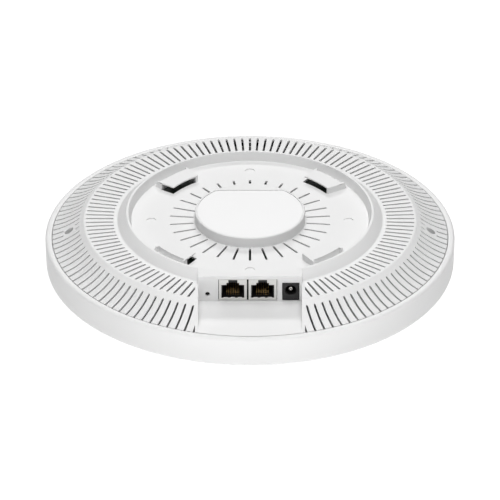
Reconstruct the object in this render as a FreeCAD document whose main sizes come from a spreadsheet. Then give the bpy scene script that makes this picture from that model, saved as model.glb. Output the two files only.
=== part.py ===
import FreeCAD, Part
import Sketcher
import math
import os
import re

# Ceiling access point: a round radio unit that twists on to a ceiling bracket.
# Millimetres, +Z up with the unit hanging from a ceiling. The origin is on the axis, in the plane
# of the lip that meets the bracket. The connectors face -Y.

DIMENSIONS = (
    # Front cover
    ("cover_radius", 121.5, "largest radius of the unit"),
    ("seam_radius", 117.7, "inside of the front cover's rim"),
    ("rim_flat_radius", 119.9, "outer edge of the rim's flat top"),
    ("rim_level", -17.1, "top of the rim"),
    ("rim_round", 1.6, "rounding of the rim's outer edge"),
    ("side_foot_radius", 120.9, "foot of the side wall"),
    ("side_foot_level", -33.2, "foot of the side wall"),
    ("foot_round", 4.0, "rounding between side wall and dome"),
    ("dome_edge_radius", 118.6, "outer edge of the dome"),
    ("dome_edge_level", -36.4, "outer edge of the dome"),
    ("dome_level", -62.8, "lowest point of the dome"),
    ("front_wall", 2.4, "wall of the front cover"),
    ("ledge_radius", 115.4, "inner edge of the ledge that carries the rear cover"),
    ("ledge_level", -21.5, "top of that ledge"),
    # Rear cover
    ("edge_radius", 117.3, "outer radius of the rear cover"),
    ("rear_wall", 1.6, "wall of the rear cover"),
    ("cap_radius", 32.8, "raised disc at the centre"),
    ("cap_level", 1.2, "top of the raised disc"),
    ("cap_round", 0.8, "rounding of the raised disc's edge"),
    ("floor_level", -5.4, "floor of the bracket recess"),
    ("recess_radius", 70.5, "foot of the bracket recess's wall"),
    ("lip_inner_radius", 72.4, "inner edge of the lip's flat top"),
    ("lip_outer_radius", 73.3, "outer edge of the lip's flat top"),
    ("lip_round", 0.3, "rounding of the lip"),
    ("slope_foot_radius", 78.7, "foot of the slope outside the lip"),
    ("plateau_radius", 98.2, "outer edge of the ring of inner vents"),
    ("plateau_level", -5.6, "outer edge of that ring"),
    ("plateau_round", 1.5, "rounding between that ring and the skirt"),
    ("skirt_top_radius", 99.2, "top of the hollow skirt"),
    ("skirt_top_level", -6.05, "top of the hollow skirt"),
    ("skirt_curve", 42.0, "radius of the skirt's hollow curve"),
    # Vents
    ("vent_count", 130, "vents in each of the two outer rings"),
    ("vent_width", 1.2, "width of an outer vent"),
    ("inner_vent_start", 81.0, "inner end of the plateau vents"),
    ("inner_vent_end", 97.7, "outer end of the plateau vents"),
    ("outer_vent_start", 101.5, "inner end of the skirt vents"),
    ("outer_vent_floor", -19.3, "depth to which the skirt vents are cut"),
    ("floor_vent_count", 30, "vents in the recess floor"),
    ("floor_vent_start", 33.5, "inner end of the floor vents"),
    ("floor_vent_end", 47.9, "outer end of the floor vents"),
    ("floor_vent_width", 1.25, "width of a floor vent"),
    # Bayonet hooks
    ("hook_count", 4, "hooks that hold the bracket"),
    ("hook_start_angle", 33.8, "first edge of a hook, counted from +X"),
    ("hook_span", 20.7, "angle that a hook covers"),
    ("hook_end_span", 1.5, "angle of the wall that closes a hook's clockwise end"),
    ("hook_inner_radius", 55.7, "inner edge of a hook"),
    ("hook_outer_radius", 65.8, "outer edge of a hook"),
    ("hook_level", -1.4, "top of a hook"),
    ("hook_plate", 0.9, "thickness of a hook's plate"),
    ("hook_wall", 1.5, "thickness of a hook's outer wall"),
    ("hook_hole_edge", 0.5, "how far the core hole under a hook reaches past its inner edge"),
    ("hook_hole_end", 0.9, "angle by which that hole reaches past the hook's free end"),
    ("rib_span", 1.0, "angle of the rib at each end of a hook"),
    ("rib_top_radius", 67.5, "outer edge of a rib at its top"),
    ("rib_foot_radius", 69.0, "outer edge of a rib at the recess floor"),
    # Locating dimples and the label
    ("dimple_place", 58.5, "radius on which the dimples lie"),
    ("dimple_radius", 2.9, "radius of a dimple"),
    ("dimple_depth", 0.4, "depth of a dimple"),
    ("label_radius", 31.5, "recess for the label"),
    ("label_chord", 24.6, "straight side of that recess"),
    ("label_depth", 0.5, "depth of that recess"),
    ("label_sheet", 0.25, "thickness of the label"),
    ("label_gap", 0.27, "mean gap around the label"),
    ("label_corner_round", 3.4, "rounding of the corners at the ends of the straight side"),
    ("label_corner_run", 3.2, "length of such a corner along the straight side"),
    ("label_corner_drop", 2.6, "depth of such a corner across the straight side"),
    ("label_shift", 0.15, "how far the label sits off its recess's centre, towards the connectors"),
    # Connector bay
    ("bay_half_width", 30.85, "half the width of the bay"),
    ("bay_wall", 1.85, "walls of the bay"),
    ("panel_place", -75.9, "front face of the connector panel"),
    ("bay_floor_level", -17.2, "floor of the bay"),
    ("boss_back", -70.2, "back of the boss above the connectors"),
    ("boss_width", 30.0, "width of the back of that boss"),
    ("thin_floor", 0.7, "recess floor left above the connectors"),
    ("fit_gap", 0.3, "gap between a connector and its window"),
    ("bezel_width", 0.7, "width of the raised bezel around a window"),
    ("bezel_height", 0.3, "how far a bezel stands out of the panel"),
    # Network ports
    ("port_spacing", 17.7, "distance between the two network ports"),
    ("port_first", -10.2, "centre of the first network port"),
    ("port_width", 16.7, "width of a port shield"),
    ("port_top", -2.4, "top of a port shield"),
    ("port_back_top", -6.15, "top of a port behind its front end"),
    ("port_front", -75.6, "front face of the ports"),
    ("port_nose", 4.0, "length of a port's tall front end"),
    ("port_length", 18.0, "length of a port"),
    ("shield_sheet", 0.2, "sheet of a port shield"),
    ("plug_width", 12.0, "space for a plug"),
    ("plug_top", -6.2, "top of the space for a plug"),
    ("plug_foot", -14.9, "bottom of the space for a plug"),
    ("plug_depth", 15.0, "depth of the space for a plug"),
    ("mouth_width", 13.6, "wide part of a port's mouth"),
    ("step_width", 7.6, "middle step of a port's mouth"),
    ("step_top", -4.8, "top of that step"),
    ("latch_width", 5.3, "narrow part of a port's mouth, for the plug's latch"),
    ("latch_top", -2.8, "top of that part"),
    ("contact_count", 8, "contacts in a port"),
    ("contact_pitch", 1.02, "distance between contacts"),
    ("contact_width", 0.4, "width and thickness of a contact"),
    ("contact_start", 4.0, "front end of a contact, behind the port's front face"),
    ("contact_end", 15.0, "back end of a contact, behind the port's front face"),
    ("contact_rise", 1.4, "height of a contact's back end above its front end"),
    # Power jack
    ("jack_place", 24.25, "centre of the power jack"),
    ("jack_width", 9.7, "width of the power jack"),
    ("jack_top", -4.6, "top of the power jack"),
    ("jack_nose", 5.2, "length of the jack's tall front end"),
    ("jack_length", 14.0, "length of the power jack"),
    ("jack_bore", 3.2, "radius of the jack's bore"),
    ("jack_bore_level", -9.8, "axis of the jack's bore"),
    ("jack_bore_depth", 10.5, "depth of the jack's bore"),
    ("jack_pin_radius", 1.05, "radius of the jack's pin"),
    # Reset switch
    ("reset_place", -25.2, "axis of the reset hole"),
    ("reset_level", -12.2, "axis of the reset hole"),
    ("reset_hole", 1.4, "radius of the reset hole"),
    ("switch_front", -71.8, "front face of the switch body"),
    ("switch_length", 4.2, "length of the switch body"),
    ("switch_width", 6.2, "width of the switch body"),
    ("switch_rise", 3.2, "height of the switch body above the button's axis"),
    ("button_radius", 1.7, "radius of the reset button"),
    ("button_reach", 1.6, "how far the button stands out of its switch"),
    ("button_travel", 0.3, "travel of the reset button"),
    ("button_clearance", 0.08, "gap around the reset button"),
    # Screws
    ("well_place", 107.4, "distance of the cover screws from the axis"),
    ("well_radius", 2.65, "radius of a screw well"),
    ("well_wall", 1.5, "wall around a screw well"),
    ("well_floor", -26.0, "floor of a screw well"),
    ("well_foot", -28.0, "underside of a screw well"),
    ("screw_head_radius", 2.4, "head of a cover screw"),
    ("screw_head_height", 2.0, "head of a cover screw"),
    ("screw_core", 1.3, "core of a cover screw"),
    ("screw_length", 11.0, "length of a cover screw under its head"),
    ("cross_length", 2.6, "length of the cross slot in a screw's head"),
    ("cross_width", 0.6, "width of that slot"),
    ("cross_depth", 1.0, "depth of that slot"),
    ("board_head_radius", 2.7, "head of a board screw"),
    ("board_head_height", 1.8, "head of a board screw"),
    ("sink_head_radius", 2.2, "head of a heat sink screw"),
    ("sink_head_height", 1.2, "head of a heat sink screw"),
    ("sink_core", 1.1, "core of a heat sink screw"),
    # Circuit board
    ("board_radius", 94.0, "radius of the circuit board"),
    ("board_front", -73.6, "straight front edge of the board"),
    ("board_top", -16.5, "rear side of the board, which faces up"),
    ("board_sheet", 1.6, "thickness of the board"),
    ("post_side", 63.0, "distance of the board posts from the axis along X"),
    ("post_front", -36.0, "front pair of board posts"),
    ("post_back", 36.0, "back pair of board posts"),
    ("post_radius", 3.5, "radius of a board post"),
    ("post_pilot", 1.3, "pilot hole in a board post"),
    # Heat sink
    ("sink_length", 70.0, "heat sink along X"),
    ("sink_width", 56.0, "heat sink along Y"),
    ("sink_place", 18.0, "centre of the heat sink along Y"),
    ("sink_base", 2.0, "base of the heat sink"),
    ("fin_height", 3.4, "fins of the heat sink"),
    ("fin_sheet", 1.2, "thickness of a fin"),
    ("fin_count", 12, "fins of the heat sink"),
    ("pad_sheet", 0.6, "thickness of a thermal pad"),
    ("chip_height", 1.2, "height of the large chips"),
    # Shield cans and antennas
    ("can_height", 4.0, "height of a shield can"),
    ("can_sheet", 0.25, "sheet of a shield can"),
    ("antenna_place", 84.0, "distance of an antenna from the axis"),
    ("antenna_sheet", 0.5, "sheet of an antenna"),
    # Light pipe
    ("light_place", -62.0, "place of the status light along Y"),
    ("light_radius", 1.5, "radius of the light pipe"),
    ("light_boss_level", -50.0, "top of the boss that holds the light pipe"),
    ("light_boss_wall", 1.8, "wall of that boss"),
    ("light_flange", 2.6, "radius of the light pipe's flange"),
    ("light_recess", 0.2, "how far the light pipe's tip stays inside the dome"),
)
NAMES = {name for name, _, _ in DIMENSIONS}
SCREW_SIDES = (("left", -1), ("right", 1))
PORTS = ("1", "2")
BOARD_FOOT = "board_top - board_sheet"
SINK_LEVEL = "board_top + chip_height + pad_sheet"
UNDERSIDE = "floor_level - rear_wall"

doc = FreeCAD.newDocument("CeilingAccessPoint")
sheet = doc.addObject("Spreadsheet::Sheet", "Dims")
for row, (name, size, note) in enumerate(DIMENSIONS, 1):
    sheet.set(f"A{row}", note)
    sheet.set(f"B{row}", str(size))
    sheet.setAlias(f"B{row}", name)
doc.recompute()
nodes = []


# ---- Helpers: every size below is a formula in the words of the table above ----

def formula(text):
    """The text with each dimension's name turned into a reference to its cell."""
    return re.sub(r"[a-z]\w*", lambda m: f"Dims.{m.group()}" if m.group() in NAMES else m.group(), str(text))


def number(text):
    return float(sheet.evalExpression(formula(text)))


def bind(item, **formulas):
    """Binds properties to formulas; an underscore in a property's name stands for a dot."""
    for prop, text in formulas.items():
        item.setExpression(prop.replace("_", "."), formula(text))
    return item


def place(item, x="0", y="0", z="0"):
    return bind(item, Placement_Base_x=x, Placement_Base_y=y, Placement_Base_z=z)


def box(name, x, y, z):
    """A box from three pairs of formulas: its lowest and highest place along each axis."""
    item = doc.addObject("Part::Box", name)
    bind(item, Length=f"({x[1]}) - ({x[0]})", Width=f"({y[1]}) - ({y[0]})", Height=f"({z[1]}) - ({z[0]})")
    return place(item, x[0], y[0], z[0])


def about(centre, size):
    """The pair of formulas of a stretch of the given size about a centre."""
    return (f"({centre}) - ({size}) / 2", f"({centre}) + ({size}) / 2")


def cylinder(name, radius, span, x="0", y="0"):
    """An upright cylinder over a pair of levels."""
    item = doc.addObject("Part::Cylinder", name)
    bind(item, Radius=radius, Height=f"({span[1]}) - ({span[0]})")
    return place(item, x, y, span[0])


def rod(name, radius, span, x="0", z="0"):
    """A cylinder along Y over a pair of places."""
    item = doc.addObject("Part::Cylinder", name)
    item.Placement = FreeCAD.Placement(FreeCAD.Vector(), FreeCAD.Rotation(FreeCAD.Vector(1, 0, 0), -90))
    bind(item, Radius=radius, Height=f"({span[1]}) - ({span[0]})")
    return place(item, x, span[0], z)


def sector(name, radii, levels, start, angle):
    """A piece of a ring between two radii and two levels, from a start angle over an angle."""
    outer = cylinder(name + "Outer", radii[1], levels)
    outer.Placement.Rotation = FreeCAD.Rotation(FreeCAD.Vector(0, 0, 1), number(start))
    bind(outer, Angle=angle)
    inner = cylinder(name + "Inner", radii[0], (f"({levels[0]}) - 1", f"({levels[1]}) + 1"))
    return cut(name, outer, [inner])


def fuse(name, items):
    if len(items) == 1:
        return items[0]
    item = doc.addObject("Part::MultiFuse", name)
    item.Shapes = items
    item.Refine = False
    return item


def cut(name, base, tools):
    item = doc.addObject("Part::Cut", name)
    item.Base = base
    item.Tool = tools[0] if len(tools) == 1 else group(name + "Tools", tools)
    item.Refine = False
    return item


def common(name, base, tool):
    item = doc.addObject("Part::Common", name)
    item.Base = base
    item.Tool = tool
    item.Refine = False
    return item


def group(name, items):
    item = doc.addObject("Part::Compound", name)
    item.Links = items
    return item


def node(item, label):
    """Names a finished piece; its label is its file's name."""
    item.Label = label
    nodes.append(item)
    return item


def origin_plane(body, role):
    return next(plane for plane in body.Origin.OriginFeatures if plane.Role == role)


def middle(start, end, radius, side):
    """The middle of an arc of a given radius between two points, bulging to the left (1) or right (-1)."""
    chord = end - start
    rise = radius - math.sqrt(max(radius ** 2 - chord.Length ** 2 / 4, 0))
    across = FreeCAD.Vector(-chord.y, chord.x, 0).normalize()
    return (start + end) * 0.5 + across * rise * side


def outline(body, name, plane, corners):
    """A closed sketch. A corner is (across, up), or (across, up, radius, side) where an arc leaves it."""
    sketch = body.newObject("Sketcher::SketchObject", name)
    sketch.AttachmentSupport = [(origin_plane(body, plane), "")]
    sketch.MapMode = "FlatFace"
    points = [FreeCAD.Vector(number(corner[0]), number(corner[1]), 0) for corner in corners]
    for index, corner in enumerate(corners):
        start, end = points[index], points[(index + 1) % len(points)]
        if len(corner) == 2:
            sketch.addGeometry(Part.LineSegment(start, end))
            continue
        top = middle(start, end, number(corner[2]), corner[3])
        sketch.addGeometry(Part.Arc(start, top, end))
    # An arc runs anticlockwise, so one that bulges to the left of its direction is stored end to start.
    first = [2 if len(corner) == 4 and corner[3] == 1 else 1 for corner in corners]
    for index, corner in enumerate(corners):
        following = (index + 1) % len(corners)
        sketch.addConstraint(Sketcher.Constraint(
            "Coincident", index, 3 - first[index], following, first[following]))
        for kind, axis, text in (("DistanceX", -2, corner[0]), ("DistanceY", -1, corner[1])):
            if text == "0":
                sketch.addConstraint(Sketcher.Constraint("PointOnObject", index, first[index], axis))
                continue
            which = sketch.addConstraint(Sketcher.Constraint(
                kind, -1, 1, index, first[index], number(text)))
            sketch.setExpression(f"Constraints[{which}]", formula(text))
        if len(corner) == 4:
            which = sketch.addConstraint(Sketcher.Constraint("Radius", index, number(corner[2])))
            sketch.setExpression(f"Constraints[{which}]", formula(corner[2]))
    return sketch


def turned(name, corners):
    """A body turned about Z from an outline in the XZ plane."""
    body = doc.addObject("PartDesign::Body", name)
    sketch = outline(body, name + "Outline", "XZ_Plane", corners)
    feature = body.newObject("PartDesign::Revolution", name + "Turned")
    feature.Profile = sketch
    feature.ReferenceAxis = (sketch, ["V_Axis"])
    feature.Angle = 360
    feature.Refine = False
    sketch.Visibility = False
    return body


def slot_ring(body, name, ends, width, depth, count):
    """Cuts a ring of radial slots down from the XY plane, the first of them along +Y."""
    doc.recompute()
    before = body.Shape.Volume
    half = f"{width} / 2"
    bulge = f"{width} * 0.52"
    sketch = outline(body, name + "Outline", "XY_Plane", (
        (f"-{half}", f"{ends[0]} + {half}", bulge, -1),
        (half, f"{ends[0]} + {half}"),
        (half, f"{ends[1]} - {half}", bulge, -1),
        (f"-{half}", f"{ends[1]} - {half}"),
    ))
    pocket = body.newObject("PartDesign::Pocket", name)
    pocket.Profile = sketch
    pocket.Refine = False
    bind(pocket, Length=depth)
    pattern = body.newObject("PartDesign::PolarPattern", name + "Ring")
    pattern.Originals = [pocket]
    pattern.Axis = (sketch, ["N_Axis"])
    pattern.Angle = 360
    pattern.Refine = False
    bind(pattern, Occurrences=count)
    body.Tip = pattern
    doc.recompute()
    if body.Shape.Volume > before - 1:
        raise RuntimeError(f"{name} cuts nothing")


# ---- Covers ----

def dome_radius(radius, level, depth):
    """Formula of the sphere through a circle of a given radius and level and a lowest point."""
    return f"(({radius})^2 + (({level}) - ({depth}))^2) / (2 * (({level}) - ({depth})))"


def front_outline():
    """The outside of the front cover, from the rim's inner edge down to the axis."""
    dome = dome_radius("dome_edge_radius", "dome_edge_level", "dome_level")
    return (
        ("seam_radius", "rim_level"),
        ("rim_flat_radius", "rim_level", "rim_round * 1.02", 1),
        ("cover_radius", "rim_level - rim_round"),
        ("side_foot_radius", "side_foot_level", "foot_round", 1),
        ("dome_edge_radius", "dome_edge_level", dome, 1),
        ("0", "dome_level"),
    )


def front_cover():
    inner_edge = ("dome_edge_radius - front_wall", "dome_edge_level + front_wall")
    inner_dome = dome_radius(inner_edge[0], inner_edge[1], "dome_level + front_wall")
    shell = turned("FrontShell", front_outline() + (
        ("0", "dome_level + front_wall", inner_dome, -1),
        inner_edge,
        ("side_foot_radius - front_wall", "side_foot_level"),
        ("seam_radius + 0.9", "ledge_level - 4.2"),
        ("ledge_radius", "ledge_level - 1.6"),
        ("ledge_radius", "ledge_level"),
        ("seam_radius", "ledge_level"),
    ))
    filled = turned("FrontFilled", front_outline() + (("0", "rim_level"),))
    posts = [cylinder(f"FrontPost{side}", "well_radius + well_wall", ("dome_level", "well_foot"),
                      x=f"{sign} * well_place") for side, sign in SCREW_SIDES]
    posts.append(cylinder("LightBoss", "light_radius + light_boss_wall", ("dome_level", "light_boss_level"),
                          y="light_place"))
    trimmed = common("FrontPosts", fuse("FrontPostsAll", posts), filled)
    pilot = ("well_floor - screw_length - 1", "well_foot")
    holes = [cylinder(f"FrontPilot{side}", "screw_core + 0.05", pilot, x=f"{sign} * well_place")
             for side, sign in SCREW_SIDES]
    holes.append(cylinder("LightHole", "light_radius + 0.05", ("dome_level - 1", "light_boss_level"),
                          y="light_place"))
    node(cut("FrontCover", fuse("FrontBody", [shell, trimmed]), holes), "front_cover")


def rear_surface():
    """The top of the vented rings, from the foot of the lip's slope out to the edge."""
    return (
        ("slope_foot_radius", "floor_level"),
        ("plateau_radius", "plateau_level", "plateau_round", 1),
        ("skirt_top_radius", "skirt_top_level", "skirt_curve", -1),
        ("edge_radius", "rim_level"),
    )


def rear_shell():
    shell = turned("RearShell", (
        ("0", "cap_level"),
        ("cap_radius - cap_round", "cap_level", "cap_round * 1.02", 1),
        ("cap_radius", "cap_level - cap_round"),
        ("cap_radius", "floor_level"),
        ("recess_radius", "floor_level"),
        ("lip_inner_radius - lip_round", "-lip_round", "lip_round * 1.02", 1),
        ("lip_inner_radius", "0"),
        ("lip_outer_radius", "0", "lip_round * 1.4", 1),
        ("lip_outer_radius + lip_round", "-lip_round / 2"),
    ) + rear_surface() + (
        ("edge_radius", "ledge_level"),
        ("ledge_radius", "ledge_level"),
        ("ledge_radius", "rim_level - 1.2", "skirt_curve + rear_wall", 1),
        ("skirt_top_radius - 1.1", "skirt_top_level - 1.2"),
        ("slope_foot_radius - 1.8", UNDERSIDE),
        ("lip_inner_radius + 1.2", "floor_level + 1.8"),
        ("recess_radius + 2.3", UNDERSIDE),
        ("cap_radius - rear_wall", UNDERSIDE),
        ("cap_radius - rear_wall", "cap_level - rear_wall"),
        ("0", "cap_level - rear_wall"),
    ))
    slot_ring(shell, "FloorVents", ("floor_vent_start", "floor_vent_end"), "floor_vent_width",
              "rear_wall - floor_level + 1", "floor_vent_count")
    slot_ring(shell, "InnerVents", ("inner_vent_start", "inner_vent_end"), "vent_width", "15", "vent_count")
    slot_ring(shell, "OuterVents", ("outer_vent_start", "edge_radius + 3"), "vent_width",
              "-outer_vent_floor", "vent_count")
    return shell


def rib(name, start):
    """A thin rib on the outer wall of a hook, wider at its foot."""
    flare = doc.addObject("Part::Cone", name + "Flare")
    flare.Placement.Rotation = FreeCAD.Rotation(FreeCAD.Vector(0, 0, 1), number(start))
    bind(flare, Radius1="rib_foot_radius", Radius2="rib_top_radius", Height="hook_level - floor_level",
         Angle="rib_span")
    place(flare, z="floor_level")
    core = cylinder(name + "Core", "hook_outer_radius - hook_wall / 2", ("floor_level - 1", "hook_level + 1"))
    return cut(name, flare, [core])


def hook(index):
    """One bayonet hook: a plate on an outer wall with a rib at each end, closed at its clockwise end."""
    name = f"Hook{index}"
    turn = f"hook_start_angle + {index} * 360 / hook_count"
    levels = ("floor_level - 0.5", "hook_level")
    plate = sector(name + "Plate", ("hook_inner_radius", "hook_outer_radius"),
                   ("hook_level - hook_plate", "hook_level"), turn, "hook_span")
    wall = sector(name + "Wall", ("hook_outer_radius - hook_wall", "hook_outer_radius"),
                  levels, turn, "hook_span")
    end = sector(name + "End", ("hook_inner_radius", "hook_outer_radius"), levels, turn, "hook_end_span")
    ribs = [rib(name + "RibA", turn), rib(name + "RibB", f"{turn} + hook_span - rib_span")]
    return fuse(name, [plate, wall, end] + ribs)


def hook_hole(index):
    """The hole in the recess floor under a hook, left by the mould's core."""
    turn = f"hook_start_angle + hook_end_span + {index} * 360 / hook_count"
    radii = ("hook_inner_radius - hook_hole_edge", "hook_outer_radius - hook_wall")
    span = "hook_span - hook_end_span + hook_hole_end"
    return sector(f"HookHole{index}", radii, (f"{UNDERSIDE} - 1", "floor_level + 0.01"), turn, span)


def bay_blocks():
    """The block that the connector bay is cut from, and the boss over the connectors."""
    filled = turned("RearFilled", (("0", "floor_level"),) + rear_surface() + (
        ("edge_radius", "well_foot"),
        ("0", "well_foot"),
    ))
    block = box("BayBlock", about("0", "2 * (bay_half_width + bay_wall)"),
                ("-edge_radius - 1", "panel_place + bay_wall"),
                ("bay_floor_level - rear_wall", "0"))
    wells = [cylinder(f"Well{side}", "well_radius + well_wall", ("well_foot", "floor_level"),
                      x=f"{sign} * well_place") for side, sign in SCREW_SIDES]
    trimmed = common("BayAndWells", fuse("BayAndWellsAll", [block] + wells), filled)
    boss = cut("BossOutside", box("BossBlock", about("0", "2 * bay_half_width"),
                                  ("panel_place - bezel_height", "-62"), (UNDERSIDE, "0")),
               [cylinder("BossRecess", "recess_radius", ("floor_level - 5", "1"))])
    back = box("BossBack", about("0", "boss_width"), ("panel_place + 0.5", "boss_back"), (UNDERSIDE, "0"))
    return [trimmed, boss, back]


def bezel(name, across, top):
    """The raised rim that the notch leaves around a window in the connector panel."""
    return box(name, (f"{across[0]} - bezel_width", f"{across[1]} + bezel_width"),
               ("panel_place - bezel_height", "panel_place + 1"),
               ("bay_floor_level - 1", f"{top} + bezel_width"))


def port_windows():
    """The cuts through the panel, the boss and the underside of the floor for what sits in the bay."""
    ports_x = ("port_first - port_width / 2 - fit_gap",
               "port_first + port_spacing + port_width / 2 + fit_gap")
    jack_x = about("jack_place", "jack_width + 2 * fit_gap")
    relief = (f"{UNDERSIDE} - 0.5", "floor_level - thin_floor")
    notch = box("NotchBlock", about("0", "2 * bay_half_width"), ("-cover_radius", "panel_place"),
                ("bay_floor_level", "5"))
    return [
        cut("Notch", notch, [bezel("PortBezel", ports_x, "port_top + fit_gap"),
                             bezel("JackBezel", jack_x, "jack_top + fit_gap")]),
        box("PortWindow", ports_x, ("panel_place - 5", "port_front + port_nose + 0.2"),
            ("board_top", "port_top + fit_gap")),
        box("PortRelief", ports_x, ("port_front + port_nose", "port_front + port_length + 0.8"), relief),
        box("JackWindow", jack_x, ("panel_place - 5", "port_front + jack_nose + 0.2"),
            ("board_top", "jack_top + fit_gap")),
        box("JackRelief", jack_x, ("port_front + jack_nose", "port_front + jack_length + 0.8"), relief),
        rod("ResetHole", "reset_hole", ("panel_place - 1", "panel_place + bay_wall + 1"),
            x="reset_place", z="reset_level"),
    ]


def label_outline(body, name, gap):
    """The label's outline: a circle with one straight side and rounded corners."""
    radius = f"(label_radius - {gap})"
    chord = f"(label_chord - {gap})"
    half = f"sqrt({radius}^2 - ({chord} - label_corner_drop)^2)"
    return outline(body, name, "XY_Plane", (
        (f"-({half} - label_corner_run)", chord),
        (f"{half} - label_corner_run", chord, "label_corner_round", 1),
        (half, f"{chord} - label_corner_drop", radius, 1),
        ("0", f"-{radius}", radius, 1),
        (f"-{half}", f"{chord} - label_corner_drop", "label_corner_round", 1),
    ))


def label_plate(name, gap, low, high, y="0"):
    """A plate with the label's outline, over two levels."""
    body = doc.addObject("PartDesign::Body", name)
    pad = body.newObject("PartDesign::Pad", name + "Pad")
    pad.Profile = label_outline(body, name + "Outline", gap)
    bind(pad, Length=f"({high}) - ({low})")
    return place(body, y=y, z=low)


def rear_cover():
    hooks = [hook(index) for index in range(int(number("hook_count")))]
    posts = [cylinder(f"BoardPost{i}", "post_radius", ("board_top", f"{UNDERSIDE} + 0.5"), x, y)
             for i, (x, y) in enumerate(post_places())]
    solid = fuse("RearBody", [rear_shell()] + bay_blocks() + hooks + posts)
    holes = port_windows()
    holes += [hook_hole(index) for index in range(int(number("hook_count")))]
    holes += [cylinder(f"WellBore{side}", "well_radius", ("well_floor", "1"), x=f"{sign} * well_place")
              for side, sign in SCREW_SIDES]
    holes += [cylinder(f"WellHole{side}", "screw_core + 0.3", ("well_foot - 1", "well_floor + 1"),
                       x=f"{sign} * well_place") for side, sign in SCREW_SIDES]
    holes += [cylinder(f"PostPilot{i}", "post_pilot", ("board_top - 1", "board_top + 7"), x, y)
              for i, (x, y) in enumerate(post_places())]
    holes += [cylinder(f"Dimple{i}", "dimple_radius", ("floor_level - dimple_depth", "floor_level + 1"), x, y)
              for i, (x, y) in enumerate((("dimple_place", "0"), ("0", "dimple_place"),
                                          ("-dimple_place", "0"), ("0", "-dimple_place")))]
    holes.append(label_plate("LabelRecess", "0", "cap_level - label_depth", "cap_level + 1"))
    node(cut("RearCover", solid, holes), "rear_cover")


def rating_label():
    foot = "cap_level - label_depth"
    node(label_plate("RatingLabel", "label_gap", foot, f"{foot} + label_sheet", "-label_shift"),
         "rating_label")


# ---- Fasteners ----

def screw(name, head, core, levels, x, y):
    """A screw over three levels: its head's top, the underside of the head, and its tip."""
    top, seat, tip = levels
    head_span, core_span = (seat, top), (tip, seat)
    if number(top) < number(tip):
        head_span, core_span = (top, seat), (seat, tip)
    parts = [cylinder(name + "Head", head, head_span, x, y), cylinder(name + "Core", core, core_span, x, y)]
    slot = (f"({top}) - cross_depth", f"({top}) + cross_depth")
    across = [box(name + "SlotA", about(x, "cross_length"), about(y, "cross_width"), slot),
              box(name + "SlotB", about(x, "cross_width"), about(y, "cross_length"), slot)]
    return cut(name, fuse(name + "Body", parts), across)


def cover_screws():
    levels = ("well_floor + screw_head_height", "well_floor", "well_floor - screw_length")
    node(group("CoverScrews", [screw(f"CoverScrew{side}", "screw_head_radius", "screw_core", levels,
                                     f"{sign} * well_place", "0") for side, sign in SCREW_SIDES]),
         "cover_screws")


def post_places():
    return [(f"{sign} * post_side", y) for _, sign in SCREW_SIDES for y in ("post_front", "post_back")]


def board_screws():
    levels = (f"{BOARD_FOOT} - board_head_height", BOARD_FOOT, "board_top + 6")
    node(group("BoardScrews", [screw(f"BoardScrew{i}", "board_head_radius", "post_pilot - 0.05",
                                     levels, x, y)
                               for i, (x, y) in enumerate(post_places())]), "board_screws")


def sink_corners():
    return [(f"{sx} * (sink_length / 2 - 4)", f"sink_place + {sy} * (sink_width / 2 - 4)")
            for sx in (-1, 1) for sy in (-1, 1)]


def heat_sink_screws():
    levels = (f"{BOARD_FOOT} - sink_head_height", BOARD_FOOT, f"{SINK_LEVEL} + sink_base")
    node(group("SinkScrews", [screw(f"SinkScrew{i}", "sink_head_radius", "sink_core", levels, x, y)
                              for i, (x, y) in enumerate(sink_corners())]), "heat_sink_screws")


# ---- Connectors ----

def port_shell(name, inset, place_x, front):
    """The outer form of a port, tall at its front end, drawn in from its sheet by an inset."""
    across = about(place_x, f"port_width - 2 * {inset}")
    nose = box(name + "Nose", across, (front, f"port_front + port_nose - {inset}"),
               (f"board_top + 0.1 + {inset}", f"port_top - {inset}"))
    back = box(name + "Back", across, (front, f"port_front + port_length - {inset}"),
               (f"board_top + 0.1 + {inset}", f"port_back_top - {inset}"))
    return fuse(name, [nose, back])


def port_mouth(name, place_x, span):
    """The three-stepped mouth of a port over a stretch along Y."""
    steps = (("Wide", "mouth_width", "plug_top"), ("Step", "step_width", "step_top"),
             ("Latch", "latch_width", "latch_top"))
    return [box(name + step, about(place_x, width), span, ("plug_foot", top)) for step, width, top in steps]


def network_port(index, label):
    place_x = f"port_first + {index} * port_spacing"
    name = f"Port{label}"
    shield = cut(name + "Shield", port_shell(name + "Outer", "0", place_x, "port_front"),
                 [port_shell(name + "Inner", "shield_sheet", place_x, "port_front + shield_sheet")]
                 + port_mouth(name + "ShieldMouth", place_x, ("port_front - 1", "port_front + 1")))
    node(shield, f"network_port_shield_{label}")
    nose = ("port_front", "port_front + port_nose - 0.8")
    hollow = port_mouth(name + "Mouth", place_x, nose)
    hollow.append(box(name + "Plug", about(place_x, "plug_width"), ("port_front", "port_front + plug_depth"),
                      ("plug_foot", "port_back_top")))
    insert = cut(name + "Insert", port_shell(name + "Core", "(shield_sheet + 0.05)", place_x,
                                             "port_front + shield_sheet + 0.05"), hollow)
    node(insert, f"network_port_insert_{label}")
    node(port_contacts(name, place_x), f"network_port_contacts_{label}")


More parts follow.
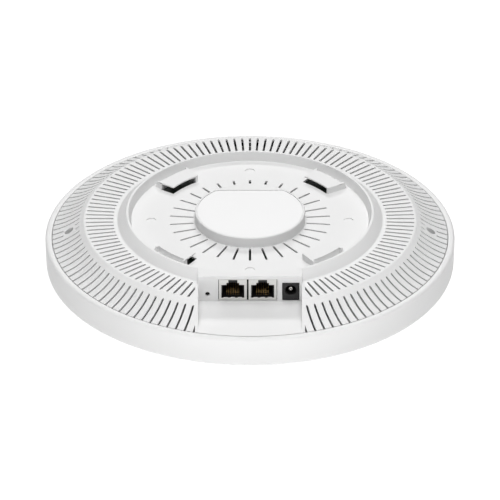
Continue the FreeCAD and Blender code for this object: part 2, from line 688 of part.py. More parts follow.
def port_contacts(name, place_x):
    """Eight sprung wires that rise from the mouth's lower edge towards the back of the plug space."""
    contacts = []
    count = int(number("contact_count"))
    for i in range(count):
        centre = f"{place_x} + contact_pitch * {i - (count - 1) / 2}"
        wire = doc.addObject("Part::Wedge", f"{name}Contact{i}")
        bind(wire, Xmin=f"{centre} - contact_width / 2", Xmax=f"{centre} + contact_width / 2",
             X2min=f"{centre} - contact_width / 2", X2max=f"{centre} + contact_width / 2",
             Ymin="port_front + contact_start", Ymax="port_front + contact_end",
             Zmin="plug_foot", Zmax="plug_foot + contact_width",
             Z2min="plug_foot + contact_rise", Z2max="plug_foot + contact_rise + contact_width")
        contacts.append(wire)
    return group(name + "Contacts", contacts)


def power_jack():
    across = about("jack_place", "jack_width")
    nose = box("JackNose", across, ("port_front", "port_front + jack_nose"), ("board_top + 0.1", "jack_top"))
    back = box("JackBack", across, ("port_front", "port_front + jack_length"),
               ("board_top + 0.1", "port_back_top"))
    bore = rod("JackBore", "jack_bore", ("port_front - 1", "port_front + jack_bore_depth"),
               x="jack_place", z="jack_bore_level")
    root = rod("JackRoot", "jack_pin_radius", ("port_front + jack_bore_depth - 1",
                                               "port_front + jack_length + 1"),
               x="jack_place", z="jack_bore_level")
    spring = box("JackSlot", about("jack_place", "2"), ("port_front + 3", "port_front + jack_bore_depth"),
                 ("jack_bore_level - jack_bore - 1", "jack_bore_level"))
    node(cut("JackBody", fuse("JackSolid", [nose, back]), [bore, root, spring]), "power_jack_body")
    pin = rod("JackPin", "jack_pin_radius", ("port_front + 1.2", "port_front + jack_length"),
              x="jack_place", z="jack_bore_level")
    node(pin, "power_jack_pin")
    blade = box("JackContact", about("jack_place", "1.8"),
                ("port_front + 3.2", "port_front + jack_bore_depth - 0.2"),
                ("jack_bore_level - jack_bore - 0.9", "jack_bore_level - jack_bore - 0.5"))
    node(blade, "power_jack_contact")


def reset_switch():
    body = box("SwitchBlock", about("reset_place", "switch_width"),
               ("switch_front", "switch_front + switch_length"), ("board_top", "reset_level + switch_rise"))
    bore = rod("SwitchBore", "button_radius + button_clearance",
               ("switch_front - 1", "switch_front + switch_length - 1"), x="reset_place", z="reset_level")
    node(cut("SwitchBody", body, [bore]), "reset_switch_body")
    button = rod("ResetButton", "button_radius",
                 ("switch_front - button_reach", "switch_front + switch_length - 1.2 - button_travel"),
                 x="reset_place", z="reset_level")
    node(button, "reset_button")


# ---- Circuit board and what stands on it ----

def main_board():
    disc = cylinder("BoardDisc", "board_radius", (BOARD_FOOT, "board_top"))
    blank = cut("BoardBlank", disc, [box("BoardFront", about("0", "2 * board_radius"),
                                         ("-board_radius - 1", "board_front"),
                                         (f"{BOARD_FOOT} - 1", "board_top + 1"))])
    holes = [cylinder(f"BoardHole{i}", "post_pilot + 0.4", (f"{BOARD_FOOT} - 1", "board_top + 1"), x, y)
             for i, (x, y) in enumerate(post_places())]
    holes += [cylinder(f"SinkHole{i}", "sink_core + 0.2", (f"{BOARD_FOOT} - 1", "board_top + 1"), x, y)
              for i, (x, y) in enumerate(sink_corners())]
    node(cut("MainBoard", blank, holes), "main_board")


def heat_sink():
    base = box("SinkBase", about("0", "sink_length"), about("sink_place", "sink_width"),
               (SINK_LEVEL, f"{SINK_LEVEL} + sink_base"))
    count = int(number("fin_count"))
    pitch = "(sink_length - fin_sheet) / (fin_count - 1)"
    fins = [box(f"Fin{i}", about(f"{pitch} * {i - (count - 1) / 2}", "fin_sheet"),
                about("sink_place", "sink_width - 16"),
                (f"{SINK_LEVEL} + sink_base - 0.1", f"{SINK_LEVEL} + sink_base + fin_height"))
            for i in range(count)]
    feet = [cylinder(f"SinkFoot{i}", "3", ("board_top", f"{SINK_LEVEL} + 0.1"), x, y)
            for i, (x, y) in enumerate(sink_corners())]
    holes = [cylinder(f"SinkThread{i}", "sink_core + 0.05",
                      ("board_top - 1", f"{SINK_LEVEL} + sink_base + 1"), x, y)
             for i, (x, y) in enumerate(sink_corners())]
    node(cut("HeatSink", fuse("SinkSolid", [base] + fins + feet), holes), "heat_sink")


def chip(label, x, y, size_x, size_y, height, below=False):
    """A plain part on the board's rear side, or below it on its front side."""
    levels = (f"{BOARD_FOOT} - ({height})", BOARD_FOOT) if below else ("board_top", f"board_top + {height}")
    name = "".join(word.title() for word in label.split("_"))
    return node(box(name, about(x, size_x), about(y, size_y), levels), label)


def electronics():
    chip("processor_chip", "-6", "sink_place", "19", "19", "chip_height")
    chip("memory_chip_1", "16", "sink_place + 12", "12", "10", "chip_height")
    chip("memory_chip_2", "16", "sink_place - 6", "12", "10", "chip_height")
    chip("radio_chip_1", "-26", "sink_place + 14", "10", "10", "chip_height")
    chip("radio_chip_2", "-26", "sink_place - 12", "10", "10", "chip_height")
    chip("flash_chip", "44", "sink_place", "8", "6", "0.9")
    chip("network_transformer_1", "port_first", "-50", "15", "9", "5.5")
    chip("network_transformer_2", "port_first + port_spacing", "-50", "15", "9", "5.5")
    chip("power_inductor_1", "38", "-42", "7", "7", "4")
    chip("power_inductor_2", "48", "-52", "7", "7", "4")
    chip("poe_bridge", "-33", "-58", "8", "6", "2.4")


def thermal_pads():
    spots = (("Processor", "-6", "sink_place", "18"), ("Memory1", "16", "sink_place + 12", "9"),
             ("Memory2", "16", "sink_place - 6", "9"), ("Radio1", "-26", "sink_place + 14", "9"),
             ("Radio2", "-26", "sink_place - 12", "9"))
    pads = [box(f"Pad{name}", about(x, size), about(y, size), ("board_top + chip_height", SINK_LEVEL))
            for name, x, y, size in spots]
    node(group("ThermalPads", pads), "thermal_pads")


def poe_transformer():
    core = box("PoeCore", about("-44", "15"), about("-46", "14"), ("board_top + 1", "board_top + 8"))
    bobbin = box("PoeBobbin", about("-44", "10"), about("-46", "18"), ("board_top", "board_top + 6"))
    node(fuse("PoeTransformer", [core, bobbin]), "poe_transformer")


def capacitors():
    for i, (x, y) in enumerate((("35", "-58"), ("56", "-62"), ("-58", "-58")), 1):
        base = box(f"CapBase{i}", about(x, "8.3"), about(y, "8.3"), ("board_top", "board_top + 0.8"))
        can = cylinder(f"CapCan{i}", "4", ("board_top + 0.7", "board_top + 8"), x, y)
        node(fuse(f"Capacitor{i}", [base, can]), f"electrolytic_capacitor_{i}")


def radio_shields():
    """Folded sheet cans over the radio circuits on the board's front side."""
    for i, (x, y, size_x, size_y) in enumerate((("-40", "10", "34", "40"), ("0", "40", "30", "34"),
                                                ("40", "10", "34", "40")), 1):
        foot = BOARD_FOOT
        outer = box(f"ShieldOuter{i}", about(x, size_x), about(y, size_y), (f"{foot} - can_height", foot))
        inner = box(f"ShieldInner{i}", about(x, f"{size_x} - 2 * can_sheet"),
                    about(y, f"{size_y} - 2 * can_sheet"),
                    (f"{foot} - can_height + can_sheet", f"{foot} + 1"))
        node(cut(f"RadioShield{i}", outer, [inner]), f"radio_shield_{i}")


def antenna(label, angle, length, height):
    """A stamped inverted-F antenna: an arm on a ground leg and a feed leg, under the board's edge."""
    name = "".join(word.title() for word in label.split("_"))
    foot = BOARD_FOOT
    sheet_x = ("antenna_place", "antenna_place + antenna_sheet")
    arm = box(name + "Arm", sheet_x, about("0", length), (f"{foot} - {height}", f"{foot} - {height} + 3"))
    ground = box(name + "Ground", sheet_x, (f"-{length} / 2", f"-{length} / 2 + 2.5"),
                 (f"{foot} - {height}", foot))
    feed = box(name + "Feed", sheet_x, (f"-{length} / 2 + 6", f"-{length} / 2 + 7.5"),
               (f"{foot} - {height}", foot))
    flange = box(name + "Flange", ("antenna_place - 4", sheet_x[1]), about("0", length),
                 (f"{foot} - {height}", f"{foot} - {height} + antenna_sheet"))
    item = fuse(name, [arm, ground, feed, flange])
    item.Placement = FreeCAD.Placement(FreeCAD.Vector(), FreeCAD.Rotation(FreeCAD.Vector(0, 0, 1), angle))
    node(item, label)


def antennas():
    for i, angle in enumerate((20, 160, 90, -33, 213), 1):
        low = i <= 2
        antenna(f"low_band_antenna_{i}" if low else f"high_band_antenna_{i - 2}", angle,
                "30" if low else "16", "12" if low else "8")


def status_light():
    """A small light on the board's front side and the clear pipe that leads it to the dome."""
    chip("status_led", "0", "light_place", "1.6", "1.6", "0.7", below=True)
    sphere = dome_radius("dome_edge_radius", "dome_edge_level", "dome_level")
    dome_there = f"dome_level + {sphere} - sqrt(({sphere})^2 - light_place^2)"
    pipe = cylinder("PipeRod", "light_radius", (f"{dome_there} + light_recess", f"{BOARD_FOOT} - 1.2"),
                    y="light_place")
    flange = cylinder("PipeFlange", "light_flange", ("light_boss_level", "light_boss_level + 1"),
                      y="light_place")
    node(fuse("LightPipe", [pipe, flange]), "light_pipe")


# ---- Building and writing ----

def build():
    front_cover()
    rear_cover()
    rating_label()
    cover_screws()
    for index, label in enumerate(PORTS):
        network_port(index, label)
    power_jack()
    reset_switch()
    main_board()
    board_screws()
    heat_sink()
    heat_sink_screws()
    thermal_pads()
    electronics()
    poe_transformer()
    capacitors()
    radio_shields()
    antennas()
    status_light()
    doc.recompute()


def check():
    for item in doc.Objects:
        if "Invalid" in item.State or "Error" in item.State:
            raise RuntimeError(f"{item.Name} failed: {item.State}")
    for item in nodes:
        if item.Shape.isNull() or not item.Shape.isValid():
            raise RuntimeError(f"{item.Label} has no valid shape")


def write():
    os.makedirs("parts", exist_ok=True)
    for item in nodes:
        item.Shape.exportStep(f"parts/{item.Label}.step")
        bounds = item.Shape.BoundBox
        print(f"{item.Label:28s} solids {len(item.Shape.Solids):2d} volume {item.Shape.Volume:10.1f} "
              f"z {bounds.ZMin:7.2f} {bounds.ZMax:7.2f}")


build()
check()
write()
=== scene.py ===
import math

import bmesh
import bpy
from mathutils import Matrix, Vector


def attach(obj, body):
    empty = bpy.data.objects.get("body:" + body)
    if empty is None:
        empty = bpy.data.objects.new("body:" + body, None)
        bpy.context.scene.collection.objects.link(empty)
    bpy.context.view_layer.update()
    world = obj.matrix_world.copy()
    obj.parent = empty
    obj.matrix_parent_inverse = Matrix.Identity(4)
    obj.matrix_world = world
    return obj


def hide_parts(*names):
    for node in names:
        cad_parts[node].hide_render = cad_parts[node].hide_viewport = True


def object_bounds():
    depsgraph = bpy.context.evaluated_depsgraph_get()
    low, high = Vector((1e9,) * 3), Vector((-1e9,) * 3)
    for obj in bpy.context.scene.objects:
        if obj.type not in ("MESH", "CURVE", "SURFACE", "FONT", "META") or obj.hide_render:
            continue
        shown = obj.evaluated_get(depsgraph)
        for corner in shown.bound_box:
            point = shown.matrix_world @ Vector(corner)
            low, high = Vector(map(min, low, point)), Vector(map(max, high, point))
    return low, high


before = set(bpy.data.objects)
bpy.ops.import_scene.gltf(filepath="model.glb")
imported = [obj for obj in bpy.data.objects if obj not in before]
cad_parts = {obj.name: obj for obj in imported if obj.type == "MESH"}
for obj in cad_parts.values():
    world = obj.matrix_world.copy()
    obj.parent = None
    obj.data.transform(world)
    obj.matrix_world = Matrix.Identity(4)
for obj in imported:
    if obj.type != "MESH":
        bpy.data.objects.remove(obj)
cad_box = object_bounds()

# Lengths are in millimetres until a mesh is finished; the lip's plane is level 0 and the axis is Z.
MM = 0.001
UNIT = "unit"
SMOOTH_ANGLE = 32.0
BEVEL_SEGMENTS = 2

RIM_RADIUS = 121.5
SEAM_RADIUS = 117.7
SEAM_ROUND = 0.4
RIM_ROUND = 1.6
SIDE_LINE = ((121.3, -24.0), (121.1, -29.0))
SIDE_FOOT = (120.9, -33.2)
FOOT_ROUND = 4.0
DOME_EDGE = (118.6, -36.4)
DOME_LEVEL = -62.8
FRONT_WALL = 2.4
LEDGE_RADIUS = 115.4
INNER_SIDE = ((118.5, -33.2), (118.6, -25.7), (LEDGE_RADIUS, -23.1))
COVER_SEGMENTS = 480
DOME_STEPS = 30
RIM_LEVEL = -17.1
EDGE_RADIUS = 117.3
EDGE_FOOT = -21.5
WALL = 1.3
CAP_RADIUS = 32.8
CAP_LEVEL = 1.2
CAP_ROUND = 0.8
CAP_FOOT_ROUND = 0.3
CAP_SEGMENTS = 240
FLOOR_LEVEL = -5.4
RECESS_RADIUS = 70.5
LIP_RADII = (72.4, 73.3)
LIP_ROUND = 0.3
SLOPE_FOOT = (78.7, FLOOR_LEVEL)
SLOPE_ROUND = 1.3
SLOPE_ROUND_BEFORE = 0.4
SLOPE_ROUND_AFTER = 0.5
SLOPE_ROUND_RISE = 0.42
PLATEAU_EDGE = (98.2, -5.6)
PLATEAU_ROUND = 1.5
SKIRT_TOP = (99.2, -6.05)
SKIRT_CURVE = 42.0
SKIRT_FOOT = (EDGE_RADIUS, RIM_LEVEL)

VENTS = 130
VENT_HALF = 0.66
INNER_VENTS = (81.0, 97.7)
OUTER_VENTS = 101.5
VENT_FLOOR = -19.3
FLOOR_VENTS = 30
FLOOR_VENT_HALF = 0.68
FLOOR_VENT_ENDS = (33.5, 47.9)

HOOKS = 4
HOOK_RADII = (55.7, 65.8)
HOOK_START = 33.8
HOOK_SPAN = 20.7
HOOK_END_SPAN = 1.5
HOOK_LEVEL = -1.4
HOOK_PLATE = 0.9
HOOK_WALL = 1.5
HOLE_EDGE = 0.5
HOLE_END = 0.9
RIB_SPAN = 1.0
RIB_TOP = 67.5
RIB_FOOT = 69.0

BAY_HALF = 30.85
BAY_RIB = 32.7
PANEL = -75.9
BAY_FLOOR = RIM_LEVEL
BOSS_BACK = 70.2
BAY_RIM_STEPS = 24
LABEL_RADIUS = 31.5
LABEL_CHORD = 24.6
LABEL_CORNER = 3.2
LABEL_DEPTH = 0.5
LABEL_SHEET = 0.25
LABEL_GAP = 0.27
LABEL_SHIFT = 0.15
DIMPLES = 4
DIMPLE_PLACE = 58.5
DIMPLE_RADIUS = 2.9
DIMPLE_DEPTH = 0.6
WELL_PLACE = 107.4
LIGHT_PLACE = -62.0
LIGHT_HOLE = 1.55
LIGHT_PATCH = (3.2, 5.0)
WELL_RADIUS = 2.65
WELL_FLOOR = -26.0
WELL_CHAMFER = 0.45
WELL_PATCH_RADII = (103.9, 110.9)
WELL_PATCH_HALF = 5.0
WELL_OPEN_HALF = 4.6


# ---- Outlines ----

def ring(radius, level, count, start=0.0):
    """Points evenly spaced on a circle, anticlockwise."""
    return [Vector((radius * math.cos(start + math.tau * i / count),
                    radius * math.sin(start + math.tau * i / count), level)) for i in range(count)]


def arc_level(radius_at, start, end, curve, side):
    """The level at a radius on an arc through two profile points; side 1 bulges upwards."""
    start, end = Vector(start), Vector(end)
    chord = end - start
    normal = Vector((-chord.y, chord.x)).normalized()
    centre = (start + end) / 2 - normal * side * math.sqrt(curve ** 2 - chord.length ** 2 / 4)
    return centre.y + side * math.sqrt(max(curve ** 2 - (radius_at - centre.x) ** 2, 0))


def ring_level(radius_at):
    """The level of the vented rings at a radius."""
    if radius_at <= PLATEAU_EDGE[0]:
        share = (radius_at - SLOPE_FOOT[0]) / (PLATEAU_EDGE[0] - SLOPE_FOOT[0])
        return SLOPE_FOOT[1] + share * (PLATEAU_EDGE[1] - SLOPE_FOOT[1])
    if radius_at <= SKIRT_TOP[0]:
        return arc_level(radius_at, PLATEAU_EDGE, SKIRT_TOP, PLATEAU_ROUND, 1)
    return arc_level(radius_at, SKIRT_TOP, SKIRT_FOOT, SKIRT_CURVE, -1)


def profile(*points):
    """Profile points (radius, level); a point may go on with the arc to the next one: (curve, side, steps)."""
    found = []
    for start, end in zip(points, points[1:]):
        found.append(start[:2])
        if len(start) == 2:
            continue
        curve, side, steps = start[2:]
        first, last = Vector(start[:2]), Vector(end[:2])
        chord = last - first
        normal = Vector((-chord.y, chord.x)).normalized()
        centre = (first + last) / 2 - normal * side * math.sqrt(max(curve ** 2 - chord.length ** 2 / 4, 0))
        begin = math.atan2(first.y - centre.y, first.x - centre.x)
        finish = math.atan2(last.y - centre.y, last.x - centre.x)
        turn = (finish - begin + math.pi) % math.tau - math.pi
        found += [(centre.x + curve * math.cos(begin + turn * i / steps),
                   centre.y + curve * math.sin(begin + turn * i / steps)) for i in range(1, steps)]
    return found + [points[-1][:2]]


def slot_outline(ends, half, angle, level, steps=6):
    """A round-ended radial slot in a plane, anticlockwise."""
    points = []
    for centre, first in ((ends[1] - half, -90.0), (ends[0] + half, 90.0)):
        for i in range(steps + 1):
            turn = math.radians(first + 180.0 * i / steps)
            points.append(Vector((centre + half * math.cos(turn), half * math.sin(turn), level)))
    return [Matrix.Rotation(angle, 3, "Z") @ point for point in points]


def sector_outline(radii, start, span, level, steps=10):
    """A piece of a ring in a plane, anticlockwise; angles in degrees."""
    def at(radius, i):
        turn = math.radians(start + span * i / steps)
        return Vector((radius * math.cos(turn), radius * math.sin(turn), level))
    return [at(radii[1], i) for i in range(steps + 1)] + [at(radii[0], i) for i in range(steps, -1, -1)]


def label_outline(gap, level):
    """A circle with a straight side at the back and rounded corners, anticlockwise."""
    radius, chord, corner = LABEL_RADIUS - gap, LABEL_CHORD - gap, LABEL_CORNER
    inner = radius - corner
    side = math.sqrt(inner ** 2 - (chord - corner) ** 2)
    meet = math.atan2(chord - corner, side)
    points = []
    for centre, size, first, last, steps in (
            ((0, 0), radius, math.pi - meet - math.tau, meet, 96),
            ((side, chord - corner), corner, meet, math.pi / 2, 8),
            ((-side, chord - corner), corner, math.pi / 2, math.pi - meet, 8)):
        for i in range(steps):
            turn = first + (last - first) * i / steps
            points.append(Vector((centre[0] + size * math.cos(turn), centre[1] + size * math.sin(turn),
                                  level)))
    return points


# ---- Mesh building ----

def loop_of(bm, points):
    return [bm.verts.new(point) for point in points]


def strip(bm, lower, upper, closed=True):
    """Quads between two loops with the same number of vertices."""
    count = len(lower)
    faces = []
    for i in range(count if closed else count - 1):
        j = (i + 1) % count
        faces.append(bm.faces.new((lower[i], lower[j], upper[j], upper[i])))
    return faces


def lathe(bm, profile, count):
    """A surface turned about Z from profile points (radius, level); returns its loops."""
    loops = [loop_of(bm, ring(radius, level, count)) for radius, level in profile]
    for lower, upper in zip(loops, loops[1:]):
        strip(bm, lower, upper)
    return loops


def edges_round(bm, loop):
    found = []
    for i, vert in enumerate(loop):
        other = loop[(i + 1) % len(loop)]
        found.append(bm.edges.get((vert, other)) or bm.edges.new((vert, other)))
    return found


def fill(bm, loops, up=(0, 0, 1)):
    """Triangles over a flat region between an outer loop and any inner loops."""
    edges = [edge for loop in loops for edge in edges_round(bm, loop)]
    made = bmesh.ops.triangle_fill(bm, edges=edges, use_beauty=True, normal=up)
    return [item for item in made["geom"] if isinstance(item, bmesh.types.BMFace)]


def sunk(bm, points, depth):
    """A hole's loop with a flat bottom at a depth below it; returns the loop."""
    top = loop_of(bm, points)
    foot = loop_of(bm, [point - Vector((0, 0, depth)) for point in points])
    strip(bm, top, foot)
    bm.faces.new(foot)
    return top


def finished(name, bm, material, replaces=(), bevel=0.0, wall=0.0, body=UNIT,
             inner=None):
    """Turns a mesh in millimetres into a piece: walls, rounded edges, material, body, and painted shade on the
    wall's inner faces when inner is given.
    """
    bmesh.ops.scale(bm, vec=(MM, MM, MM), verts=bm.verts)
    mesh = bpy.data.meshes.new(name)
    bm.to_mesh(mesh)
    bm.free()
    piece = bpy.data.objects.new(name, mesh)
    bpy.context.scene.collection.objects.link(piece)
    mesh.materials.append(material)
    if wall:
        solid = piece.modifiers.new("wall", "SOLIDIFY")
        solid.thickness = wall * MM
        solid.offset = -1
        # The inner faces take the inner material, a near-black painted shade in place of the white plastic.
        if inner:
            mesh.materials.append(inner)
            solid.material_offset = 1
    if bevel:
        rounded = piece.modifiers.new("rounded edges", "BEVEL")
        rounded.width = bevel * MM
        rounded.segments = BEVEL_SEGMENTS
        rounded.limit_method = "ANGLE"
        rounded.angle_limit = math.radians(SMOOTH_ANGLE)
        rounded.use_clamp_overlap = True
    for polygon in mesh.polygons:
        polygon.use_smooth = True
    if bevel:
        weighted = piece.modifiers.new("even shading", "WEIGHTED_NORMAL")
        weighted.mode = "FACE_AREA"
        weighted.weight = 60
        weighted.keep_sharp = True
    else:
        mesh.set_sharp_from_angle(angle=math.radians(SMOOTH_ANGLE))
    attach(piece, body)
    if replaces:
        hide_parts(*replaces)
    return piece


# ---- Materials ----

class Nodes:
    """A small helper to write a node material from top to bottom."""

    def __init__(self, name):
        self.material = bpy.data.materials.new(name)
        self.material.use_nodes = True
        self.tree = self.material.node_tree
        self.shader = self.tree.nodes["Principled BSDF"]
        self.place = self.add("ShaderNodeTexCoord").outputs["Object"]

    def add(self, kind, inputs=(), **settings):
        node = self.tree.nodes.new(kind)
        for key, value in settings.items():
            setattr(node, key, value)
        for key, value in dict(inputs).items():
            if isinstance(value, bpy.types.NodeSocket):
                self.tree.links.new(value, node.inputs[key])
            else:
                node.inputs[key].default_value = value
        return node

    def noise(self, size_mm, detail=2.0, rough=0.5):
        """Noise whose grains are about size_mm across."""
        node = self.add("ShaderNodeTexNoise", {"Vector": self.place, "Scale": 1000.0 / size_mm,
                                               "Detail": detail, "Roughness": rough})
        return node.outputs["Fac"]

    def between(self, factor, low, high):
        """Maps a 0 to 1 value to a range of numbers, or to a range of two colours."""
        if isinstance(low, tuple):
            node = self.add("ShaderNodeMix", {"Factor": factor}, data_type="RGBA")
            node.inputs["A"].default_value = (*low, 1)
            node.inputs["B"].default_value = (*high, 1)
            return next(out for out in node.outputs if out.type == "RGBA")
        node = self.add("ShaderNodeMapRange", {"Value": factor, "To Min": low, "To Max": high})
        return node.outputs["Result"]

    def bump(self, height, distance_mm, strength=1.0):
        node = self.add("ShaderNodeBump", {"Height": height, "Distance": distance_mm * MM, "Strength": strength})
        self.tree.links.new(node.outputs["Normal"], self.shader.inputs["Normal"])

    def put(self, **inputs):
        for key, value in inputs.items():
            socket = self.shader.inputs[key.replace("_", " ")]
            if isinstance(value, bpy.types.NodeSocket):
                self.tree.links.new(value, socket)
            else:
                socket.default_value = value
        return self.material


def plastic(name, dark, light, roughness, grain=0.25, depth=0.012):
    """Moulded plastic: spark-eroded grain, and a slight drift of tone and gloss."""
    make = Nodes(name)
    drift = make.noise(38.0, 1.0)
    make.bump(make.noise(grain, 3.0, 0.6), depth)
    return make.put(Base_Color=make.between(drift, dark, light),
                    Roughness=make.between(make.noise(3.0), roughness - 0.04, roughness + 0.04))


def metal(name, dark, light, roughness, grain=0.6, depth=0.004):
    """Sheet or turned metal with faint mottling."""
    make = Nodes(name)
    mottle = make.noise(grain, 4.0, 0.65)
    make.bump(make.noise(grain * 0.4), depth)
    return make.put(Base_Color=make.between(mottle, dark, light), Metallic=1.0,
                    Roughness=make.between(make.noise(grain * 2.0), roughness - 0.07, roughness + 0.07))


WHITE = plastic("white plastic", (0.745, 0.745, 0.745), (0.775, 0.775, 0.773), 0.52)
WHITE_FILM = plastic("label film", (0.795, 0.795, 0.795), (0.815, 0.815, 0.815), 0.42, 0.15, 0.003)
# Painted shade: a near-black material for the rear cover's inner faces, standing in for the dark inside seen
# through the vents; the real plastic there is white.
PAINTED_SHADE_INSIDE = plastic("painted shade inside the rear cover", (0.010, 0.010, 0.010), (0.016, 0.016, 0.016), 0.85)
BLACK = plastic("black plastic", (0.005, 0.005, 0.005), (0.009, 0.009, 0.009), 0.5, 0.2, 0.006)
TIN = metal("tinned sheet", (0.62, 0.62, 0.60), (0.76, 0.76, 0.74), 0.36)
GOLD = metal("gold contacts", (0.26, 0.17, 0.06), (0.36, 0.25, 0.10), 0.34)
NICKEL = metal("nickel", (0.68, 0.66, 0.62), (0.82, 0.80, 0.76), 0.22)
SCREW = metal("zinc screw", (0.42, 0.42, 0.43), (0.6, 0.6, 0.62), 0.35)
ALUMINIUM = metal("heat sink aluminium", (0.10, 0.10, 0.10), (0.14, 0.14, 0.14), 0.5)
ANTENNA = metal("antenna sheet", (0.55, 0.53, 0.48), (0.68, 0.66, 0.60), 0.35)
BOARD = plastic("solder resist", (0.004, 0.02, 0.010), (0.008, 0.035, 0.018), 0.4, 0.8, 0.01)
RESIN = plastic("chip resin", (0.02, 0.02, 0.021), (0.035, 0.035, 0.036), 0.55)
SILICONE = plastic("pad silicone", (0.20, 0.26, 0.36), (0.28, 0.34, 0.44), 0.7)
FERRITE = plastic("ferrite", (0.03, 0.03, 0.032), (0.06, 0.06, 0.062), 0.6)
CAN = metal("capacitor can", (0.05, 0.05, 0.052), (0.08, 0.08, 0.083), 0.5)


def clear_plastic():
    make = Nodes("clear plastic")
    make.bump(make.noise(0.4), 0.003)
    return make.put(Base_Color=make.between(make.noise(6.0), (0.92, 0.95, 0.97), (0.98, 0.99, 1.0)),
                    Roughness=make.between(make.noise(1.0), 0.06, 0.12), Transmission_Weight=0.9, IOR=1.49)


CLEAR = clear_plastic()
LENS = plastic("led lens", (0.80, 0.74, 0.48), (0.92, 0.88, 0.62), 0.2)

# Which finish each carried-over CAD node gets, by the start of its name.
FINISHES = (
    ("cover_screws", SCREW), ("board_screws", SCREW), ("heat_sink_screws", SCREW), ("heat_sink", ALUMINIUM),
    ("main_board", BOARD), ("thermal_pads", SILICONE), ("radio_shield", TIN), ("poe_transformer", FERRITE),
    ("power_inductor", FERRITE), ("electrolytic_capacitor", CAN), ("low_band_antenna", ANTENNA),
    ("high_band_antenna", ANTENNA), ("status_led", LENS), ("light_pipe", CLEAR), ("reset_switch_body", BLACK),
    ("reset_button", BLACK), ("power_jack_contact", NICKEL), ("power_jack_pin", NICKEL),
    ("power_jack_body", BLACK), ("network_port_shield", TIN), ("network_port_insert", BLACK),
    ("network_port_contacts", GOLD), ("rating_label", WHITE_FILM), ("rear_cover", WHITE),
    ("front_cover", WHITE), ("", RESIN),
)


def dress_cad_nodes():
    for name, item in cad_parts.items():
        finish = next(material for start, material in FINISHES if name.startswith(start))
        item.data.materials.clear()
        item.data.materials.append(finish)


# ---- Rear cover ----

def vent_rows():
    """Rows (radius, half width of a vent there, whether the vent is open from this row to the next)."""
    half = VENT_HALF

    def rounded(start, way):
        turns = [0, 30, 60, 90] if way > 0 else [90, 60, 30, 0]
        return [(start + way * half * (1 - math.cos(math.radians(turn))),
                 half * math.sin(math.radians(turn))) for turn in turns]

    rows = [(79.6, half, False)]
    rows += [(radius, width, True) for radius, width in rounded(INNER_VENTS[0], 1)]
    rows += [(radius, half, True) for radius in (85.0, 89.2, 93.4)]
    rows += [(radius, width, True) for radius, width in rounded(INNER_VENTS[1], -1)[:-1]]
    rows += [(INNER_VENTS[1], 0.0, False)]
    rows += [(radius, half, False) for radius in (98.2, 98.45, 98.7, 98.95, 99.2, 100.4)]
    rows += [(radius, width, True) for radius, width in rounded(OUTER_VENTS, 1)]
    rows += [(radius, half, True) for radius in (102.8, 104.0, 105.6, 107.4, 109.2, 110.8, 112.2,
                                                 113.6, 115.0, 116.3)]
    return rows


def columns():
    """Three columns for each vent: its two long edges, and the middle of the bar after it."""
    pitch = math.tau / VENTS
    return [(math.pi / 2 + pitch * k + turn, side)
            for k in range(VENTS) for turn, side in ((0, -1), (0, 1), (pitch / 2, 0))]


def column_ring(radius, level, half=VENT_HALF):
    """A loop of points on the columns."""
    turns = [angle + side * math.asin(half / radius) for angle, side in columns()]
    return [Vector((radius * math.cos(t), radius * math.sin(t), level)) for t in turns]


def vented_rings(bm, inner_loop, tag):
    """The plateau, the skirt and the edge below it, from the slope's last loop; marks the open vents."""
    rows = [(radius, ring_level(radius), half, opened) for radius, half, opened in vent_rows()]
    rows += [(EDGE_RADIUS, RIM_LEVEL, VENT_HALF, True), (EDGE_RADIUS, VENT_FLOOR, VENT_HALF, False),
             (EDGE_RADIUS, EDGE_FOOT, VENT_HALF, False)]
    loops = [inner_loop] + [loop_of(bm, column_ring(radius, level, half)) for radius, level, half, _ in rows]
    opened = [False] + [row[3] for row in rows]
    for lower, upper, is_open in zip(loops, loops[1:], opened):
        faces = strip(bm, lower, upper)
        if is_open:
            for face, (_, side) in zip(faces, columns()):
                face[tag] = side == -1


def near_well(point):
    return (abs(point.y) < WELL_PATCH_HALF
            and WELL_PATCH_RADII[0] < abs(point.x) < WELL_PATCH_RADII[1])


def cut_wells(bm, tag):
    """Keeps the vents off the screw wells and sinks the wells into the skirt."""
    for face in bm.faces:
        if near_well(face.calc_center_median()):
            face[tag] = 0
    for side in (-1, 1):
        patch = [face for face in bm.faces
                 if near_well(face.calc_center_median()) and face.calc_center_median().x * side > 0
                 and abs(face.calc_center_median().y) < WELL_OPEN_HALF]
        border = [edge for edge in {edge for face in patch for edge in face.edges}
                  if sum(other in patch for other in edge.link_faces) == 1]
        bmesh.ops.delete(bm, geom=patch, context="FACES_ONLY")
        loops = [ring(radius, 0.0, 28) for radius in (WELL_RADIUS, WELL_RADIUS + WELL_CHAMFER)]
        lifted = []
        for points in loops:
            for point in points:
                point.x += side * WELL_PLACE
                point.z = ring_level(math.hypot(point.x, point.y))
            lifted.append(loop_of(bm, points))
        strip(bm, lifted[0], lifted[1])
        levels = {vert: vert.co.z for edge in border for vert in edge.verts}
        levels.update({vert: vert.co.z for vert in lifted[1]})
        for vert in levels:
            vert.co.z = 0.0
        bmesh.ops.triangle_fill(bm, edges=border + edges_round(bm, lifted[1]), use_beauty=True,
                                normal=(0, 0, 1))
        for vert, level in levels.items():
            vert.co.z = level
        foot = loop_of(bm, [Vector((vert.co.x, vert.co.y, WELL_FLOOR)) for vert in lifted[0]])
        strip(bm, foot, lifted[0])
        bm.faces.new(foot)
        loose = [edge for edge in bm.edges if not edge.link_faces and near_well(edge.verts[0].co)]
        bmesh.ops.delete(bm, geom=loose, context="EDGES")
        bmesh.ops.delete(bm, geom=[vert for vert in bm.verts if not vert.link_edges], context="VERTS")


def bisect(bm, keep, point, normal):
    """Cuts the faces that keep accepts along a plane."""
    faces = [face for face in bm.faces if keep(face.calc_center_median())]
    geometry = faces + list({edge for face in faces for edge in face.edges}) \
        + list({vert for face in faces for vert in face.verts})
    bmesh.ops.bisect_plane(bm, geom=geometry, plane_co=point, plane_no=normal, dist=1e-5)


